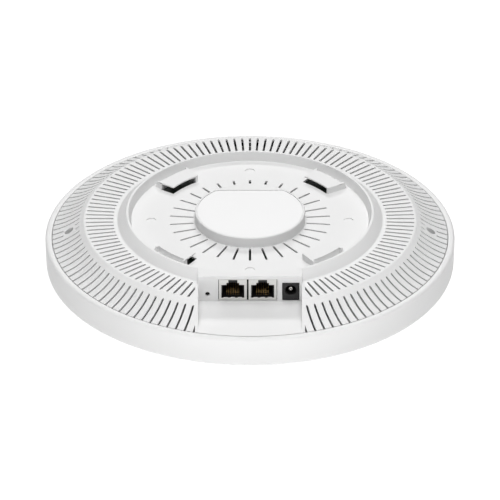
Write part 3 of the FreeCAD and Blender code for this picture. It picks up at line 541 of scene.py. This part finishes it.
def wall_down(bm, edges, level):
    """Extrudes edges straight to a level; returns the new edges."""
    made = bmesh.ops.extrude_edge_only(bm, edges=edges)["geom"]
    for vert in (item for item in made if isinstance(item, bmesh.types.BMVert)):
        vert.co.z = level
    return [item for item in made if isinstance(item, bmesh.types.BMEdge)
            and all(abs(vert.co.z - level) < 1e-5 for vert in item.verts)]


def on_side(edge, side):
    return all(abs(vert.co.x - side * BAY_HALF) < 1e-3 for vert in edge.verts)


def rectangle(x, z, y, corner=0.0, steps=4):
    """A rectangle in a plane across Y, with rounded corners."""
    points = []
    for cx, cz, first in ((x[1], z[1], 0), (x[0], z[1], 90), (x[0], z[0], 180), (x[1], z[0], 270)):
        sx, sz = (1 if cx == x[1] else -1), (1 if cz == z[1] else -1)
        for i in range(steps + 1 if corner else 1):
            turn = math.radians(first + 90.0 * i / steps) if corner else 0
            points.append(Vector((cx - sx * corner + (corner * math.cos(turn) if corner else 0), y,
                                  cz - sz * corner + (corner * math.sin(turn) if corner else 0))))
    return points


PORT_WINDOW = ((-18.85, 16.15), (-16.8, -2.0))
JACK_WINDOW = ((19.1, 29.4), (-16.8, -4.3))
PORT_WINDOW_CORNER = 0.6
JACK_WINDOW_CORNER = 0.3
BEZEL_WIDTH = 0.7
BEZEL_HEIGHT = 0.3
RESET_HOLE = (-25.2, -12.2, 1.4)


def connector_bay(bm):
    """Cuts the bay out of the rings and gives it side walls: down to the floor in front of the panel, up to the
    boss top behind it.
    """
    outside = lambda at: at.y < 0 and math.hypot(at.x, at.y) > LIP_RADII[0] - 0.01
    for side in (-1, 1):
        bisect(bm, lambda at: at.y < -55 and abs(at.x - side * BAY_HALF) < 6,
               (side * BAY_HALF, 0, 0), (1, 0, 0))
        bisect(bm, lambda at: at.y < -60 and abs(at.x - side * BAY_HALF) < 6 and outside(at),
               (0, PANEL, 0), (0, 1, 0))
    gone = [face for face in bm.faces if abs(face.calc_center_median().x) < BAY_HALF
            and outside(face.calc_center_median())]
    bmesh.ops.delete(bm, geom=gone, context="FACES")

    border = [edge for edge in bm.edges if edge.is_boundary]
    for side in (-1, 1):
        cut_edges = [edge for edge in border if on_side(edge, side)]
        wall_down(bm, [edge for edge in cut_edges if max(v.co.y for v in edge.verts) < PANEL + 1e-3
                       and min(v.co.z for v in edge.verts) > BAY_FLOOR - 1e-3], BAY_FLOOR)
        wall_down(bm, [edge for edge in cut_edges if min(v.co.y for v in edge.verts) > PANEL - 1e-3
                       and min(v.co.z for v in edge.verts) < -1e-3], 0.0)
    bmesh.ops.remove_doubles(bm, verts=bm.verts, dist=2e-3)


def rear_cover():
    bm = bmesh.new()
    tag = bm.faces.layers.int.new("slot")
    # Raised disc with the recess for the label.
    label = sunk(bm, label_outline(0.0, CAP_LEVEL), LABEL_DEPTH)
    cap = lathe(bm, profile((CAP_RADIUS - CAP_ROUND, CAP_LEVEL, CAP_ROUND, 1, 5),
                            (CAP_RADIUS, CAP_LEVEL - CAP_ROUND),
                            (CAP_RADIUS, FLOOR_LEVEL + CAP_FOOT_ROUND, CAP_FOOT_ROUND, -1, 3),
                            (CAP_RADIUS + CAP_FOOT_ROUND, FLOOR_LEVEL)), CAP_SEGMENTS)
    fill(bm, [cap[0], label])
    # Recess floor with its vents, the core holes under the hooks, and the dimples.
    holes = [loop_of(bm, slot_outline(FLOOR_VENT_ENDS, FLOOR_VENT_HALF,
                                      math.pi / 2 + math.tau * i / FLOOR_VENTS, FLOOR_LEVEL))
             for i in range(FLOOR_VENTS)]
    holes += [loop_of(bm, sector_outline((HOOK_RADII[0] - HOLE_EDGE, HOOK_RADII[1] - HOOK_WALL),
                                         HOOK_START + 90 * i + HOOK_END_SPAN,
                                         HOOK_SPAN - HOOK_END_SPAN + HOLE_END, FLOOR_LEVEL))
              for i in range(HOOKS)]
    for i in range(DIMPLES):
        turn = math.pi / 2 * i
        centre = Vector((DIMPLE_PLACE * math.cos(turn), DIMPLE_PLACE * math.sin(turn), 0))
        holes.append(sunk(bm, [point + centre for point in ring(DIMPLE_RADIUS, FLOOR_LEVEL, 32)], DIMPLE_DEPTH))

    def clipped(radius, level):
        """A loop of the recess wall, straight where it passes the boss over the connectors."""
        limit = radius - (RECESS_RADIUS - BOSS_BACK)
        points = column_ring(radius, level)
        for point in points:
            point.y = max(point.y, -limit)
        return loop_of(bm, points)

    wall = profile((RECESS_RADIUS - 0.1, FLOOR_LEVEL), (RECESS_RADIUS, FLOOR_LEVEL + 0.1),
                   (LIP_RADII[0] - LIP_ROUND, -LIP_ROUND, LIP_ROUND, 1, 3), (LIP_RADII[0], 0.0))
    loops = [clipped(radius, level) for radius, level in wall]
    for lower, upper in zip(loops, loops[1:]):
        strip(bm, lower, upper)
    fill(bm, [loops[0], cap[-1]] + holes)
    # Lip, slope and the two vented rings.
    slope_end = SLOPE_FOOT[0] + SLOPE_ROUND_AFTER
    slope = profile((LIP_RADII[1], 0.0, LIP_ROUND * 1.4, 1, 3), (LIP_RADII[1] + LIP_ROUND, -LIP_ROUND / 2),
                    (SLOPE_FOOT[0] - SLOPE_ROUND_BEFORE, FLOOR_LEVEL + SLOPE_ROUND_RISE, SLOPE_ROUND, -1, 3),
                    (slope_end, ring_level(slope_end)))
    loops = [loops[-1]] + [loop_of(bm, column_ring(radius, level)) for radius, level in slope]
    for lower, upper in zip(loops, loops[1:]):
        strip(bm, lower, upper)
    vented_rings(bm, loops[-1], tag)
    cut_wells(bm, tag)
    bmesh.ops.remove_doubles(bm, verts=bm.verts, dist=1e-4)
    for side in (-1, 1):
        bisect(bm, lambda at: at.y < -60 and abs(at.x - side * BAY_RIB) < 6 and math.hypot(at.x, at.y) > 79,
               (side * BAY_RIB, 0, 0), (1, 0, 0))
    gone = []
    for face in bm.faces:
        at = face.calc_center_median()
        if face[tag] and not (at.y < 0 and abs(at.x) < BAY_RIB):
            gone.append(face)
    bmesh.ops.delete(bm, geom=gone, context="FACES")
    slivers = [edge for edge in bm.edges if edge.is_boundary and abs(edge.verts[0].co.x) < BAY_RIB + 0.1]
    bmesh.ops.holes_fill(bm, edges=slivers, sides=4)
    connector_bay(bm)
    close_bay(bm)
    bmesh.ops.delete(bm, geom=[edge for edge in bm.edges if not edge.link_faces], context="EDGES")
    bmesh.ops.recalc_face_normals(bm, faces=bm.faces)
    top = min((face for face in bm.faces if face.calc_center_median().z > CAP_LEVEL - 1e-4),
              key=lambda face: face.calc_center_median().length)
    if top.normal.z < 0:
        bmesh.ops.reverse_faces(bm, faces=bm.faces)
    # The shell's inner faces get the near-black painted shade, not white plastic.
    return finished("rear_cover_shell", bm, WHITE, ("rear_cover",), bevel=0.1, wall=WALL,
                    inner=PAINTED_SHADE_INSIDE)


def close_bay(bm):
    """Boss top, panel and floor of the connector bay, on the edges that the cuts left open."""
    def pick(test):
        return [edge for edge in bm.edges if edge.is_boundary and all(test(vert.co) for vert in edge.verts)]

    def vertex(x, y, z):
        spot = Vector((x, y, z))
        near = min(bm.verts, key=lambda vert: (vert.co - spot).length)
        return near if (near.co - spot).length < 0.02 else bm.verts.new(spot)

    def path(*verts):
        return [bm.edges.get(pair) or bm.edges.new(pair) for pair in zip(verts, verts[1:])]

    half = BAY_HALF + 1e-3
    front = [vertex(-BAY_HALF, PANEL, 0), vertex(BAY_HALF, PANEL, 0)]
    foot = [vertex(-BAY_HALF, PANEL, BAY_FLOOR), vertex(BAY_HALF, PANEL, BAY_FLOOR)]
    boss = pick(lambda at: abs(at.z) < 1e-4 and abs(at.x) < half and PANEL - 1e-3 < at.y < -55)
    bmesh.ops.triangle_fill(bm, edges=boss + path(*front), use_beauty=True, normal=(0, 0, 1))
    # The floor runs out to the seam, where its edge hangs down like the rest of the cover's edge.
    reach = math.sqrt(EDGE_RADIUS ** 2 - BAY_HALF ** 2)
    ends = [math.atan2(-reach, -BAY_HALF), math.atan2(-reach, BAY_HALF)]
    arc = []
    for i in range(BAY_RIM_STEPS + 1):
        turn = ends[0] + (ends[1] - ends[0]) * i / BAY_RIM_STEPS
        arc.append(vertex(EDGE_RADIUS * math.cos(turn), EDGE_RADIUS * math.sin(turn), BAY_FLOOR))
    rim = path(*arc)
    sides = [edge for edge in bm.edges if edge.is_boundary and (on_side(edge, -1) or on_side(edge, 1))
             and all(abs(vert.co.z - BAY_FLOOR) < 0.02 and vert.co.y < PANEL + 1e-3 for vert in edge.verts)]
    bmesh.ops.triangle_fill(bm, edges=sides + rim + path(*foot), use_beauty=True, normal=(0, 0, 1))
    wall_down(bm, wall_down(bm, rim, VENT_FLOOR), EDGE_FOOT)
    # The panel with its windows.
    around = pick(lambda at: abs(at.y - PANEL) < 1e-3 and abs(at.x) < half)
    windows = [loop_of(bm, rectangle(*PORT_WINDOW, PANEL, PORT_WINDOW_CORNER)),
               loop_of(bm, rectangle(*JACK_WINDOW, PANEL, JACK_WINDOW_CORNER)),
               loop_of(bm, [Vector((RESET_HOLE[0] + RESET_HOLE[2] * point.x, PANEL,
                                    RESET_HOLE[1] + RESET_HOLE[2] * point.y)) for point in ring(1.0, 0, 24)])]
    edges = around + [edge for loop in windows for edge in edges_round(bm, loop)]
    bmesh.ops.triangle_fill(bm, edges=edges, use_beauty=True, normal=(0, -1, 0))
    bmesh.ops.remove_doubles(bm, verts=bm.verts, dist=1e-3)


def bezel(name, window):
    """The thin raised rim around a window in the connector panel, open at the bay's floor."""
    (left, right), (_, top) = window
    bm = bmesh.new()
    rim = [(left - BEZEL_WIDTH, BAY_FLOOR), (left - BEZEL_WIDTH, top + BEZEL_WIDTH),
           (right + BEZEL_WIDTH, top + BEZEL_WIDTH), (right + BEZEL_WIDTH, BAY_FLOOR),
           (right, BAY_FLOOR), (right, top), (left, top), (left, BAY_FLOOR)]
    faces = [loop_of(bm, [Vector((x, y, z)) for x, z in rim]) for y in (PANEL - BEZEL_HEIGHT, PANEL + 0.02)]
    strip(bm, faces[0], faces[1])
    for loop in faces:
        bm.faces.new(loop)
    bmesh.ops.recalc_face_normals(bm, faces=bm.faces)
    finished(name, bm, WHITE, bevel=0.1)


def hooks():
    """Four bayonet hooks: a plate on an outer wall with a rib at each end, closed at the clockwise end."""
    base = FLOOR_LEVEL - 0.6
    foot = RIB_FOOT + (RIB_FOOT - RIB_TOP) * (FLOOR_LEVEL - base) / (HOOK_LEVEL - FLOOR_LEVEL)
    for i in range(HOOKS):
        bm = bmesh.new()
        start = HOOK_START + 90 * i
        plate = (HOOK_LEVEL - HOOK_PLATE, HOOK_LEVEL)
        behind = HOOK_RADII[1] - HOOK_WALL
        for foot_radii, top_radii, first, span, levels in (
                (HOOK_RADII, HOOK_RADII, start, HOOK_SPAN, plate),
                ((behind, HOOK_RADII[1]), (behind, HOOK_RADII[1]), start + RIB_SPAN, HOOK_SPAN - 2 * RIB_SPAN,
                 (base, plate[0] + 0.02)),
                ((HOOK_RADII[0], behind + 0.02), (HOOK_RADII[0], behind + 0.02), start, HOOK_END_SPAN,
                 (base, plate[0] + 0.02)),
                ((behind, foot), (behind, RIB_TOP), start, RIB_SPAN, (base, HOOK_LEVEL - 0.03)),
                ((behind, foot), (behind, RIB_TOP), start + HOOK_SPAN - RIB_SPAN, RIB_SPAN,
                 (base, HOOK_LEVEL - 0.03))):
            lower = loop_of(bm, sector_outline(foot_radii, first, span, levels[0]))
            upper = loop_of(bm, sector_outline(top_radii, first, span, levels[1]))
            strip(bm, lower, upper)
            bm.faces.new(upper)
            bm.faces.new(lower)
        bmesh.ops.recalc_face_normals(bm, faces=bm.faces)
        finished(f"rear_cover_hook_{i + 1}", bm, WHITE, bevel=0.3)


def front_cover():
    bm = bmesh.new()
    inner_edge = (DOME_EDGE[0] - FRONT_WALL, DOME_EDGE[1] + FRONT_WALL)
    inner_level = DOME_LEVEL + FRONT_WALL

    def dome_level(radius, edge, low):
        rise = edge[1] - low
        curve = (edge[0] ** 2 + rise ** 2) / (2 * rise)
        return low + curve - math.sqrt(curve ** 2 - radius ** 2)

    def dome(edge, low):
        radii = [edge[0] * (1 - i / DOME_STEPS) for i in range(DOME_STEPS)]
        return [(radius, dome_level(radius, edge, low)) for radius in radii]

    def light_hole(loops, edge, low):
        """Opens a round hole for the light pipe in one surface of the dome; returns its rim."""
        inside = {vert for loop in loops for vert in loop}
        patch = [face for face in bm.faces if all(vert in inside for vert in face.verts)
                 and abs(face.calc_center_median().x) < LIGHT_PATCH[0]
                 and abs(face.calc_center_median().y - LIGHT_PLACE) < LIGHT_PATCH[1]]
        border = [item for item in {item for face in patch for item in face.edges}
                  if sum(other in patch for other in item.link_faces) == 1]
        bmesh.ops.delete(bm, geom=patch, context="FACES_ONLY")
        points = [Vector((point.x, point.y + LIGHT_PLACE, 0)) for point in ring(LIGHT_HOLE, 0, 24)]
        rim = loop_of(bm, points)
        levels = {vert: vert.co.z for item in border for vert in item.verts}
        levels.update({vert: dome_level(math.hypot(vert.co.x, vert.co.y), edge, low) for vert in rim})
        for vert in levels:
            vert.co.z = 0.0
        bmesh.ops.triangle_fill(bm, edges=border + edges_round(bm, rim), use_beauty=True, normal=(0, 0, 1))
        for vert, level in levels.items():
            vert.co.z = level
        return rim

    outside = profile((SEAM_RADIUS, RIM_LEVEL - SEAM_ROUND, SEAM_ROUND, 1, 3),
                      (SEAM_RADIUS + SEAM_ROUND, RIM_LEVEL),
                      (RIM_RADIUS - RIM_ROUND, RIM_LEVEL, RIM_ROUND, 1, 7), (RIM_RADIUS, RIM_LEVEL - RIM_ROUND),
                      *SIDE_LINE, (*SIDE_FOOT, FOOT_ROUND, 1, 7), DOME_EDGE)
    outside += dome(DOME_EDGE, DOME_LEVEL)[1:]
    inside = list(reversed(dome(inner_edge, inner_level)))
    inside += [*INNER_SIDE, (LEDGE_RADIUS, EDGE_FOOT), (SEAM_RADIUS, EDGE_FOOT)]
    loops = lathe(bm, outside, COVER_SEGMENTS)
    tip = bm.verts.new((0, 0, DOME_LEVEL))
    for i, vert in enumerate(loops[-1]):
        bm.faces.new((vert, tip, loops[-1][(i + 1) % COVER_SEGMENTS]))
    inner = lathe(bm, inside, COVER_SEGMENTS)
    hollow = bm.verts.new((0, 0, inner_level))
    for i, vert in enumerate(inner[0]):
        bm.faces.new((vert, inner[0][(i + 1) % COVER_SEGMENTS], hollow))
    strip(bm, inner[-1], loops[0])
    rims = [light_hole(loops, DOME_EDGE, DOME_LEVEL), light_hole(inner, inner_edge, inner_level)]
    strip(bm, rims[0], rims[1])
    loose = [edge for edge in bm.edges if not edge.link_faces]
    bmesh.ops.delete(bm, geom=loose, context="EDGES")
    bmesh.ops.delete(bm, geom=[vert for vert in bm.verts if not vert.link_edges], context="VERTS")
    bmesh.ops.recalc_face_normals(bm, faces=bm.faces)
    return finished("front_cover_shell", bm, WHITE, ("front_cover",))


# ---- Connectors ----

PORTS = ((-10.2, "1"), (7.5, "2"))
PORT_HALF = 8.35
PORT_LEVELS = (-16.4, -2.4)
PORT_BACK_TOP = -6.15
PORT_FRONT = -75.6
PORT_NOSE = 4.0
PORT_LENGTH = 18.0
SHIELD_SHEET = 0.2
MOUTH = ((6.8, -6.2), (3.8, -4.8), (2.65, -2.8))
MOUTH_FOOT = -14.9
FINGER_PLACES = (-4.2, 0.0, 4.2)
FINGER = ((-1.5, 0.0), (-1.1, 0.45), (1.1, 0.45), (1.5, 0.0))
CONTACTS = 8
CONTACT_PITCH = 1.02
CONTACT_HALF = 0.2
CONTACT_SHEET = 0.3
CONTACT_PATH = ((3.4, -14.7), (4.4, -14.7, 1.2, -1, 4), (5.3, -14.3), (10.6, -10.0, 0.8, 1, 4), (11.6, -9.7),
                (13.4, -9.9))
JACK_PLACE = 24.25
JACK_HALF = 4.85
JACK_LEVELS = (-16.4, -4.6)
JACK_AXIS = -9.8
JACK_BORE = 3.2
JACK_BORE_DEPTH = 10.5
JACK_CHAMFER = 0.35
JACK_CORNER = 0.35
JACK_LENGTH = 14.0
PIN_RADIUS = 1.05
PIN_LENGTH = 12.6
PIN_SET_BACK = 1.2
BUTTON_RADIUS = 1.7
BUTTON_LENGTH = 4.1
BUTTON_FRONT = -73.4


def mouth_outline(x, y, grow=0.0, fingers=False):
    """The stepped mouth of a port, from its lower left corner, with small sheet fingers on its lower edge."""
    (wide, shoulder), (step, step_top), (latch, latch_top) = MOUTH
    right = [(wide + grow, MOUTH_FOOT - grow), (wide + grow, shoulder + grow), (step + grow, shoulder + grow),
             (step + grow, step_top + grow), (latch + grow, step_top + grow), (latch + grow, latch_top + grow)]
    points = right + [(-px, pz) for px, pz in reversed(right)]
    if fingers:
        for centre in FINGER_PLACES:
            for dx, dz in FINGER:
                points.append((centre + dx, MOUTH_FOOT - grow + dz))
    return [Vector((x + px, y, pz)) for px, pz in points]


def port_shield(x, label):
    """The tinned shield of a port: a folded box with a stepped mouth in its face."""
    bm = bmesh.new()
    side = [(0, PORT_LEVELS[0]), (0, PORT_LEVELS[1]), (PORT_NOSE, PORT_LEVELS[1]), (PORT_NOSE, PORT_BACK_TOP),
            (PORT_LENGTH, PORT_BACK_TOP), (PORT_LENGTH, PORT_LEVELS[0])]
    rims = [loop_of(bm, [Vector((x + way * PORT_HALF, PORT_FRONT + y, z)) for y, z in side]) for way in (-1, 1)]
    faces = strip(bm, rims[0], rims[1])
    bmesh.ops.delete(bm, geom=[faces[0]], context="FACES_ONLY")
    for rim in rims:
        bm.faces.new(rim)
    front = [rims[0][0], rims[1][0], rims[1][1], rims[0][1]]
    fill(bm, [front, loop_of(bm, mouth_outline(x, PORT_FRONT, 0.0, True))], (0, -1, 0))
    bmesh.ops.recalc_face_normals(bm, faces=bm.faces)
    finished(f"port_shield_{label}", bm, TIN, (f"network_port_shield_{label}",),
             bevel=0.08, wall=SHIELD_SHEET)


def port_contacts(x, label):
    """Eight sprung wires: along the mouth's floor, then up and back in a long bend."""
    bm = bmesh.new()
    path = profile(*CONTACT_PATH)
    for i in range(CONTACTS):
        centre = x + CONTACT_PITCH * (i - (CONTACTS - 1) / 2)
        rings = []
        for k, (y, z) in enumerate(path):
            before, after = path[max(k - 1, 0)], path[min(k + 1, len(path) - 1)]
            along = Vector((after[0] - before[0], after[1] - before[1])).normalized()
            up = Vector((-along.y, along.x)) * CONTACT_SHEET / 2
            rings.append(loop_of(bm, [Vector((centre + dx, PORT_FRONT + y + up.x * way, z + up.y * way))
                                      for dx, way in ((-CONTACT_HALF, -1), (CONTACT_HALF, -1),
                                                      (CONTACT_HALF, 1), (-CONTACT_HALF, 1))]))
        for lower, upper in zip(rings, rings[1:]):
            strip(bm, lower, upper)
        bm.faces.new(rings[0])
        bm.faces.new(rings[-1])
    bmesh.ops.recalc_face_normals(bm, faces=bm.faces)
    finished(f"port_contacts_{label}", bm, GOLD, (f"network_port_contacts_{label}",),
             bevel=0.06)


def power_jack():
    """The jack's housing with its round, chamfered bore."""
    bm = bmesh.new()
    across = (JACK_PLACE - JACK_HALF, JACK_PLACE + JACK_HALF)
    front = loop_of(bm, rectangle(across, JACK_LEVELS, PORT_FRONT, JACK_CORNER))
    rear = loop_of(bm, rectangle(across, (JACK_LEVELS[0], PORT_BACK_TOP), PORT_FRONT + JACK_LENGTH, JACK_CORNER))
    strip(bm, front, rear)
    bm.faces.new(rear)

    def circle(radius, depth):
        return loop_of(bm, [Vector((JACK_PLACE + point.x, PORT_FRONT + depth, JACK_AXIS + point.y))
                            for point in ring(radius, 0, 48)])

    rims = [circle(JACK_BORE + JACK_CHAMFER, 0.0), circle(JACK_BORE, JACK_CHAMFER),
            circle(JACK_BORE, JACK_BORE_DEPTH)]
    for lower, upper in zip(rims, rims[1:]):
        strip(bm, lower, upper)
    bm.faces.new(rims[-1])
    fill(bm, [front, rims[0]], (0, -1, 0))
    bmesh.ops.recalc_face_normals(bm, faces=bm.faces)
    finished("power_jack_housing", bm, BLACK, ("power_jack_body",), bevel=0.12)


def turned_along_y(points, count=32):
    """A solid turned about an axis along Y from (radius, depth) points; returns its mesh."""
    bm = bmesh.new()
    loops = lathe(bm, points, count)
    bm.faces.new(loops[0])
    bm.faces.new(loops[-1])
    bmesh.ops.rotate(bm, verts=bm.verts, matrix=Matrix.Rotation(math.radians(-90), 3, "X"))
    bmesh.ops.recalc_face_normals(bm, faces=bm.faces)
    return bm


def moved(bm, x, y, z):
    bmesh.ops.translate(bm, verts=bm.verts, vec=(x, y, z))
    return bm


def jack_pin():
    pin = turned_along_y(profile((0.25, 0.0), (0.45, 0.0, 0.6, 1, 4), (PIN_RADIUS, 0.6),
                                 (PIN_RADIUS, PIN_LENGTH)))
    finished("power_jack_centre_pin", moved(pin, JACK_PLACE, PORT_FRONT + PIN_SET_BACK, JACK_AXIS), NICKEL,
             ("power_jack_pin",))


def reset_button():
    button = turned_along_y(profile((0.9, 0.12), (1.1, 0.0), (BUTTON_RADIUS - 0.3, 0.0, 0.3, 1, 4),
                                    (BUTTON_RADIUS, 0.3), (BUTTON_RADIUS, BUTTON_LENGTH)))
    finished("reset_button_plunger", moved(button, RESET_HOLE[0], BUTTON_FRONT, RESET_HOLE[1]), BLACK,
             ("reset_button",), body="reset_button")


def label_plate():
    bm = bmesh.new()
    foot = CAP_LEVEL - LABEL_DEPTH
    shift = Vector((0, -LABEL_SHIFT, 0))
    lower = loop_of(bm, [point + shift for point in label_outline(LABEL_GAP, foot + 0.01)])
    upper = loop_of(bm, [point + shift for point in label_outline(LABEL_GAP, foot + LABEL_SHEET)])
    strip(bm, lower, upper)
    bm.faces.new(lower)
    bm.faces.new(upper)
    bmesh.ops.recalc_face_normals(bm, faces=bm.faces)
    finished("rating_label_plate", bm, WHITE_FILM, ("rating_label",), bevel=0.06)


# ---- Scene ----

# Name, place and aim in metres, size in metres, power in watts.
LAMPS = (
    ("overhead softbox", (0.0, 0.0, 1.4), (0, 0, 0), (1.0, 1.0), 11.6),
    ("low front softbox", (0.0, -1.6, 0.12), (0, 0, -0.02), (1.2, 0.2), 2.3),
    ("high front softbox", (0.0, -0.9, 1.3), (0, 0, 0), (0.6, 0.4), 7.4),
    ("left front softbox", (-1.2, -0.9, 1.3), (0, 0, 0), (0.8, 0.5), 3.2),
    ("right front softbox", (1.2, -0.9, 1.3), (0, 0, 0), (0.8, 0.5), 3.2),
    ("narrow back softbox", (0.0, 1.38, 1.16), (0, 0, 0), (0.35, 0.25), 3.6),
    ("wide back softbox", (0.0, 1.38, 1.16), (0, 0, 0), (1.6, 0.25), 7.44),
)
FLOOR_REACH = 6.0
FLOOR_DROP = 0.0005
GLOW_SPAN = (-0.45, -0.12)
GLOW = (2.62, 0.98)
VIEW_WIDTH = 0.2969
VIEW_RISE = math.radians(30.0)
VIEW_LEVEL = -25.8 * MM
VIEW_DISTANCE = 1.5


def studio():
    scene = bpy.context.scene
    scene.view_settings.view_transform = "Standard"
    world = bpy.data.worlds.new("studio")
    scene.world = world
    world.use_nodes = True
    world.node_tree.nodes["Background"].inputs["Color"].default_value = (1, 1, 1, 1)
    world.node_tree.nodes["Background"].inputs["Strength"].default_value = 0.0

    # A light table: it glows white, brighter towards the front, so the object stands without a shadow.
    mesh = bpy.data.meshes.new("floor")
    reach, level = FLOOR_REACH, cad_box[0].z - FLOOR_DROP
    mesh.from_pydata([(-reach, -reach, level), (reach, -reach, level), (reach, reach, level),
                      (-reach, reach, level)], [], [(0, 1, 2, 3)])
    floor = bpy.data.objects.new("floor", mesh)
    scene.collection.objects.link(floor)
    paper = Nodes("floor paper")
    paper.bump(paper.noise(0.8), 0.01)
    depth = paper.add("ShaderNodeSeparateXYZ", {"Vector": paper.place}).outputs["Y"]
    glow = paper.add("ShaderNodeMapRange", {"Value": depth, "From Min": GLOW_SPAN[0], "From Max": GLOW_SPAN[1],
                                            "To Min": GLOW[0], "To Max": GLOW[1]}).outputs["Result"]
    grey = paper.between(paper.noise(60.0), (0.10, 0.10, 0.10), (0.12, 0.12, 0.12))
    mesh.materials.append(paper.put(Base_Color=grey, Roughness=0.8, Emission_Color=(1, 1, 1, 1),
                                    Emission_Strength=glow))

    def lamp(name, place, aim, size, power):
        data = bpy.data.lights.new(name, "AREA")
        data.shape = "RECTANGLE"
        data.size, data.size_y = size
        data.energy = power
        item = bpy.data.objects.new(name, data)
        scene.collection.objects.link(item)
        item.location = place
        item.rotation_euler = (Vector(aim) - Vector(place)).to_track_quat("-Z", "Y").to_euler()

    for name, place, aim, size, power in LAMPS:
        lamp(name, place, aim, size, power)


def camera():
    """No perspective, 30 degrees above the horizon, from the connector side."""
    data = bpy.data.cameras.new("camera")
    data.type = "ORTHO"
    data.ortho_scale = VIEW_WIDTH
    item = bpy.data.objects.new("camera", data)
    bpy.context.scene.collection.objects.link(item)
    aim = Vector((0, 0, VIEW_LEVEL))
    item.location = aim + Vector((0, -math.cos(VIEW_RISE), math.sin(VIEW_RISE))) * VIEW_DISTANCE
    item.rotation_euler = (math.pi / 2 - VIEW_RISE, 0, 0)
    bpy.context.scene.camera = item


camera()
studio()
dress_cad_nodes()
rear_cover()
hooks()
label_plate()
front_cover()
bezel("rear_cover_port_bezel", PORT_WINDOW)
bezel("rear_cover_jack_bezel", JACK_WINDOW)
for port_place, port_label in PORTS:
    port_shield(port_place, port_label)
    port_contacts(port_place, port_label)
power_jack()
jack_pin()
reset_button()
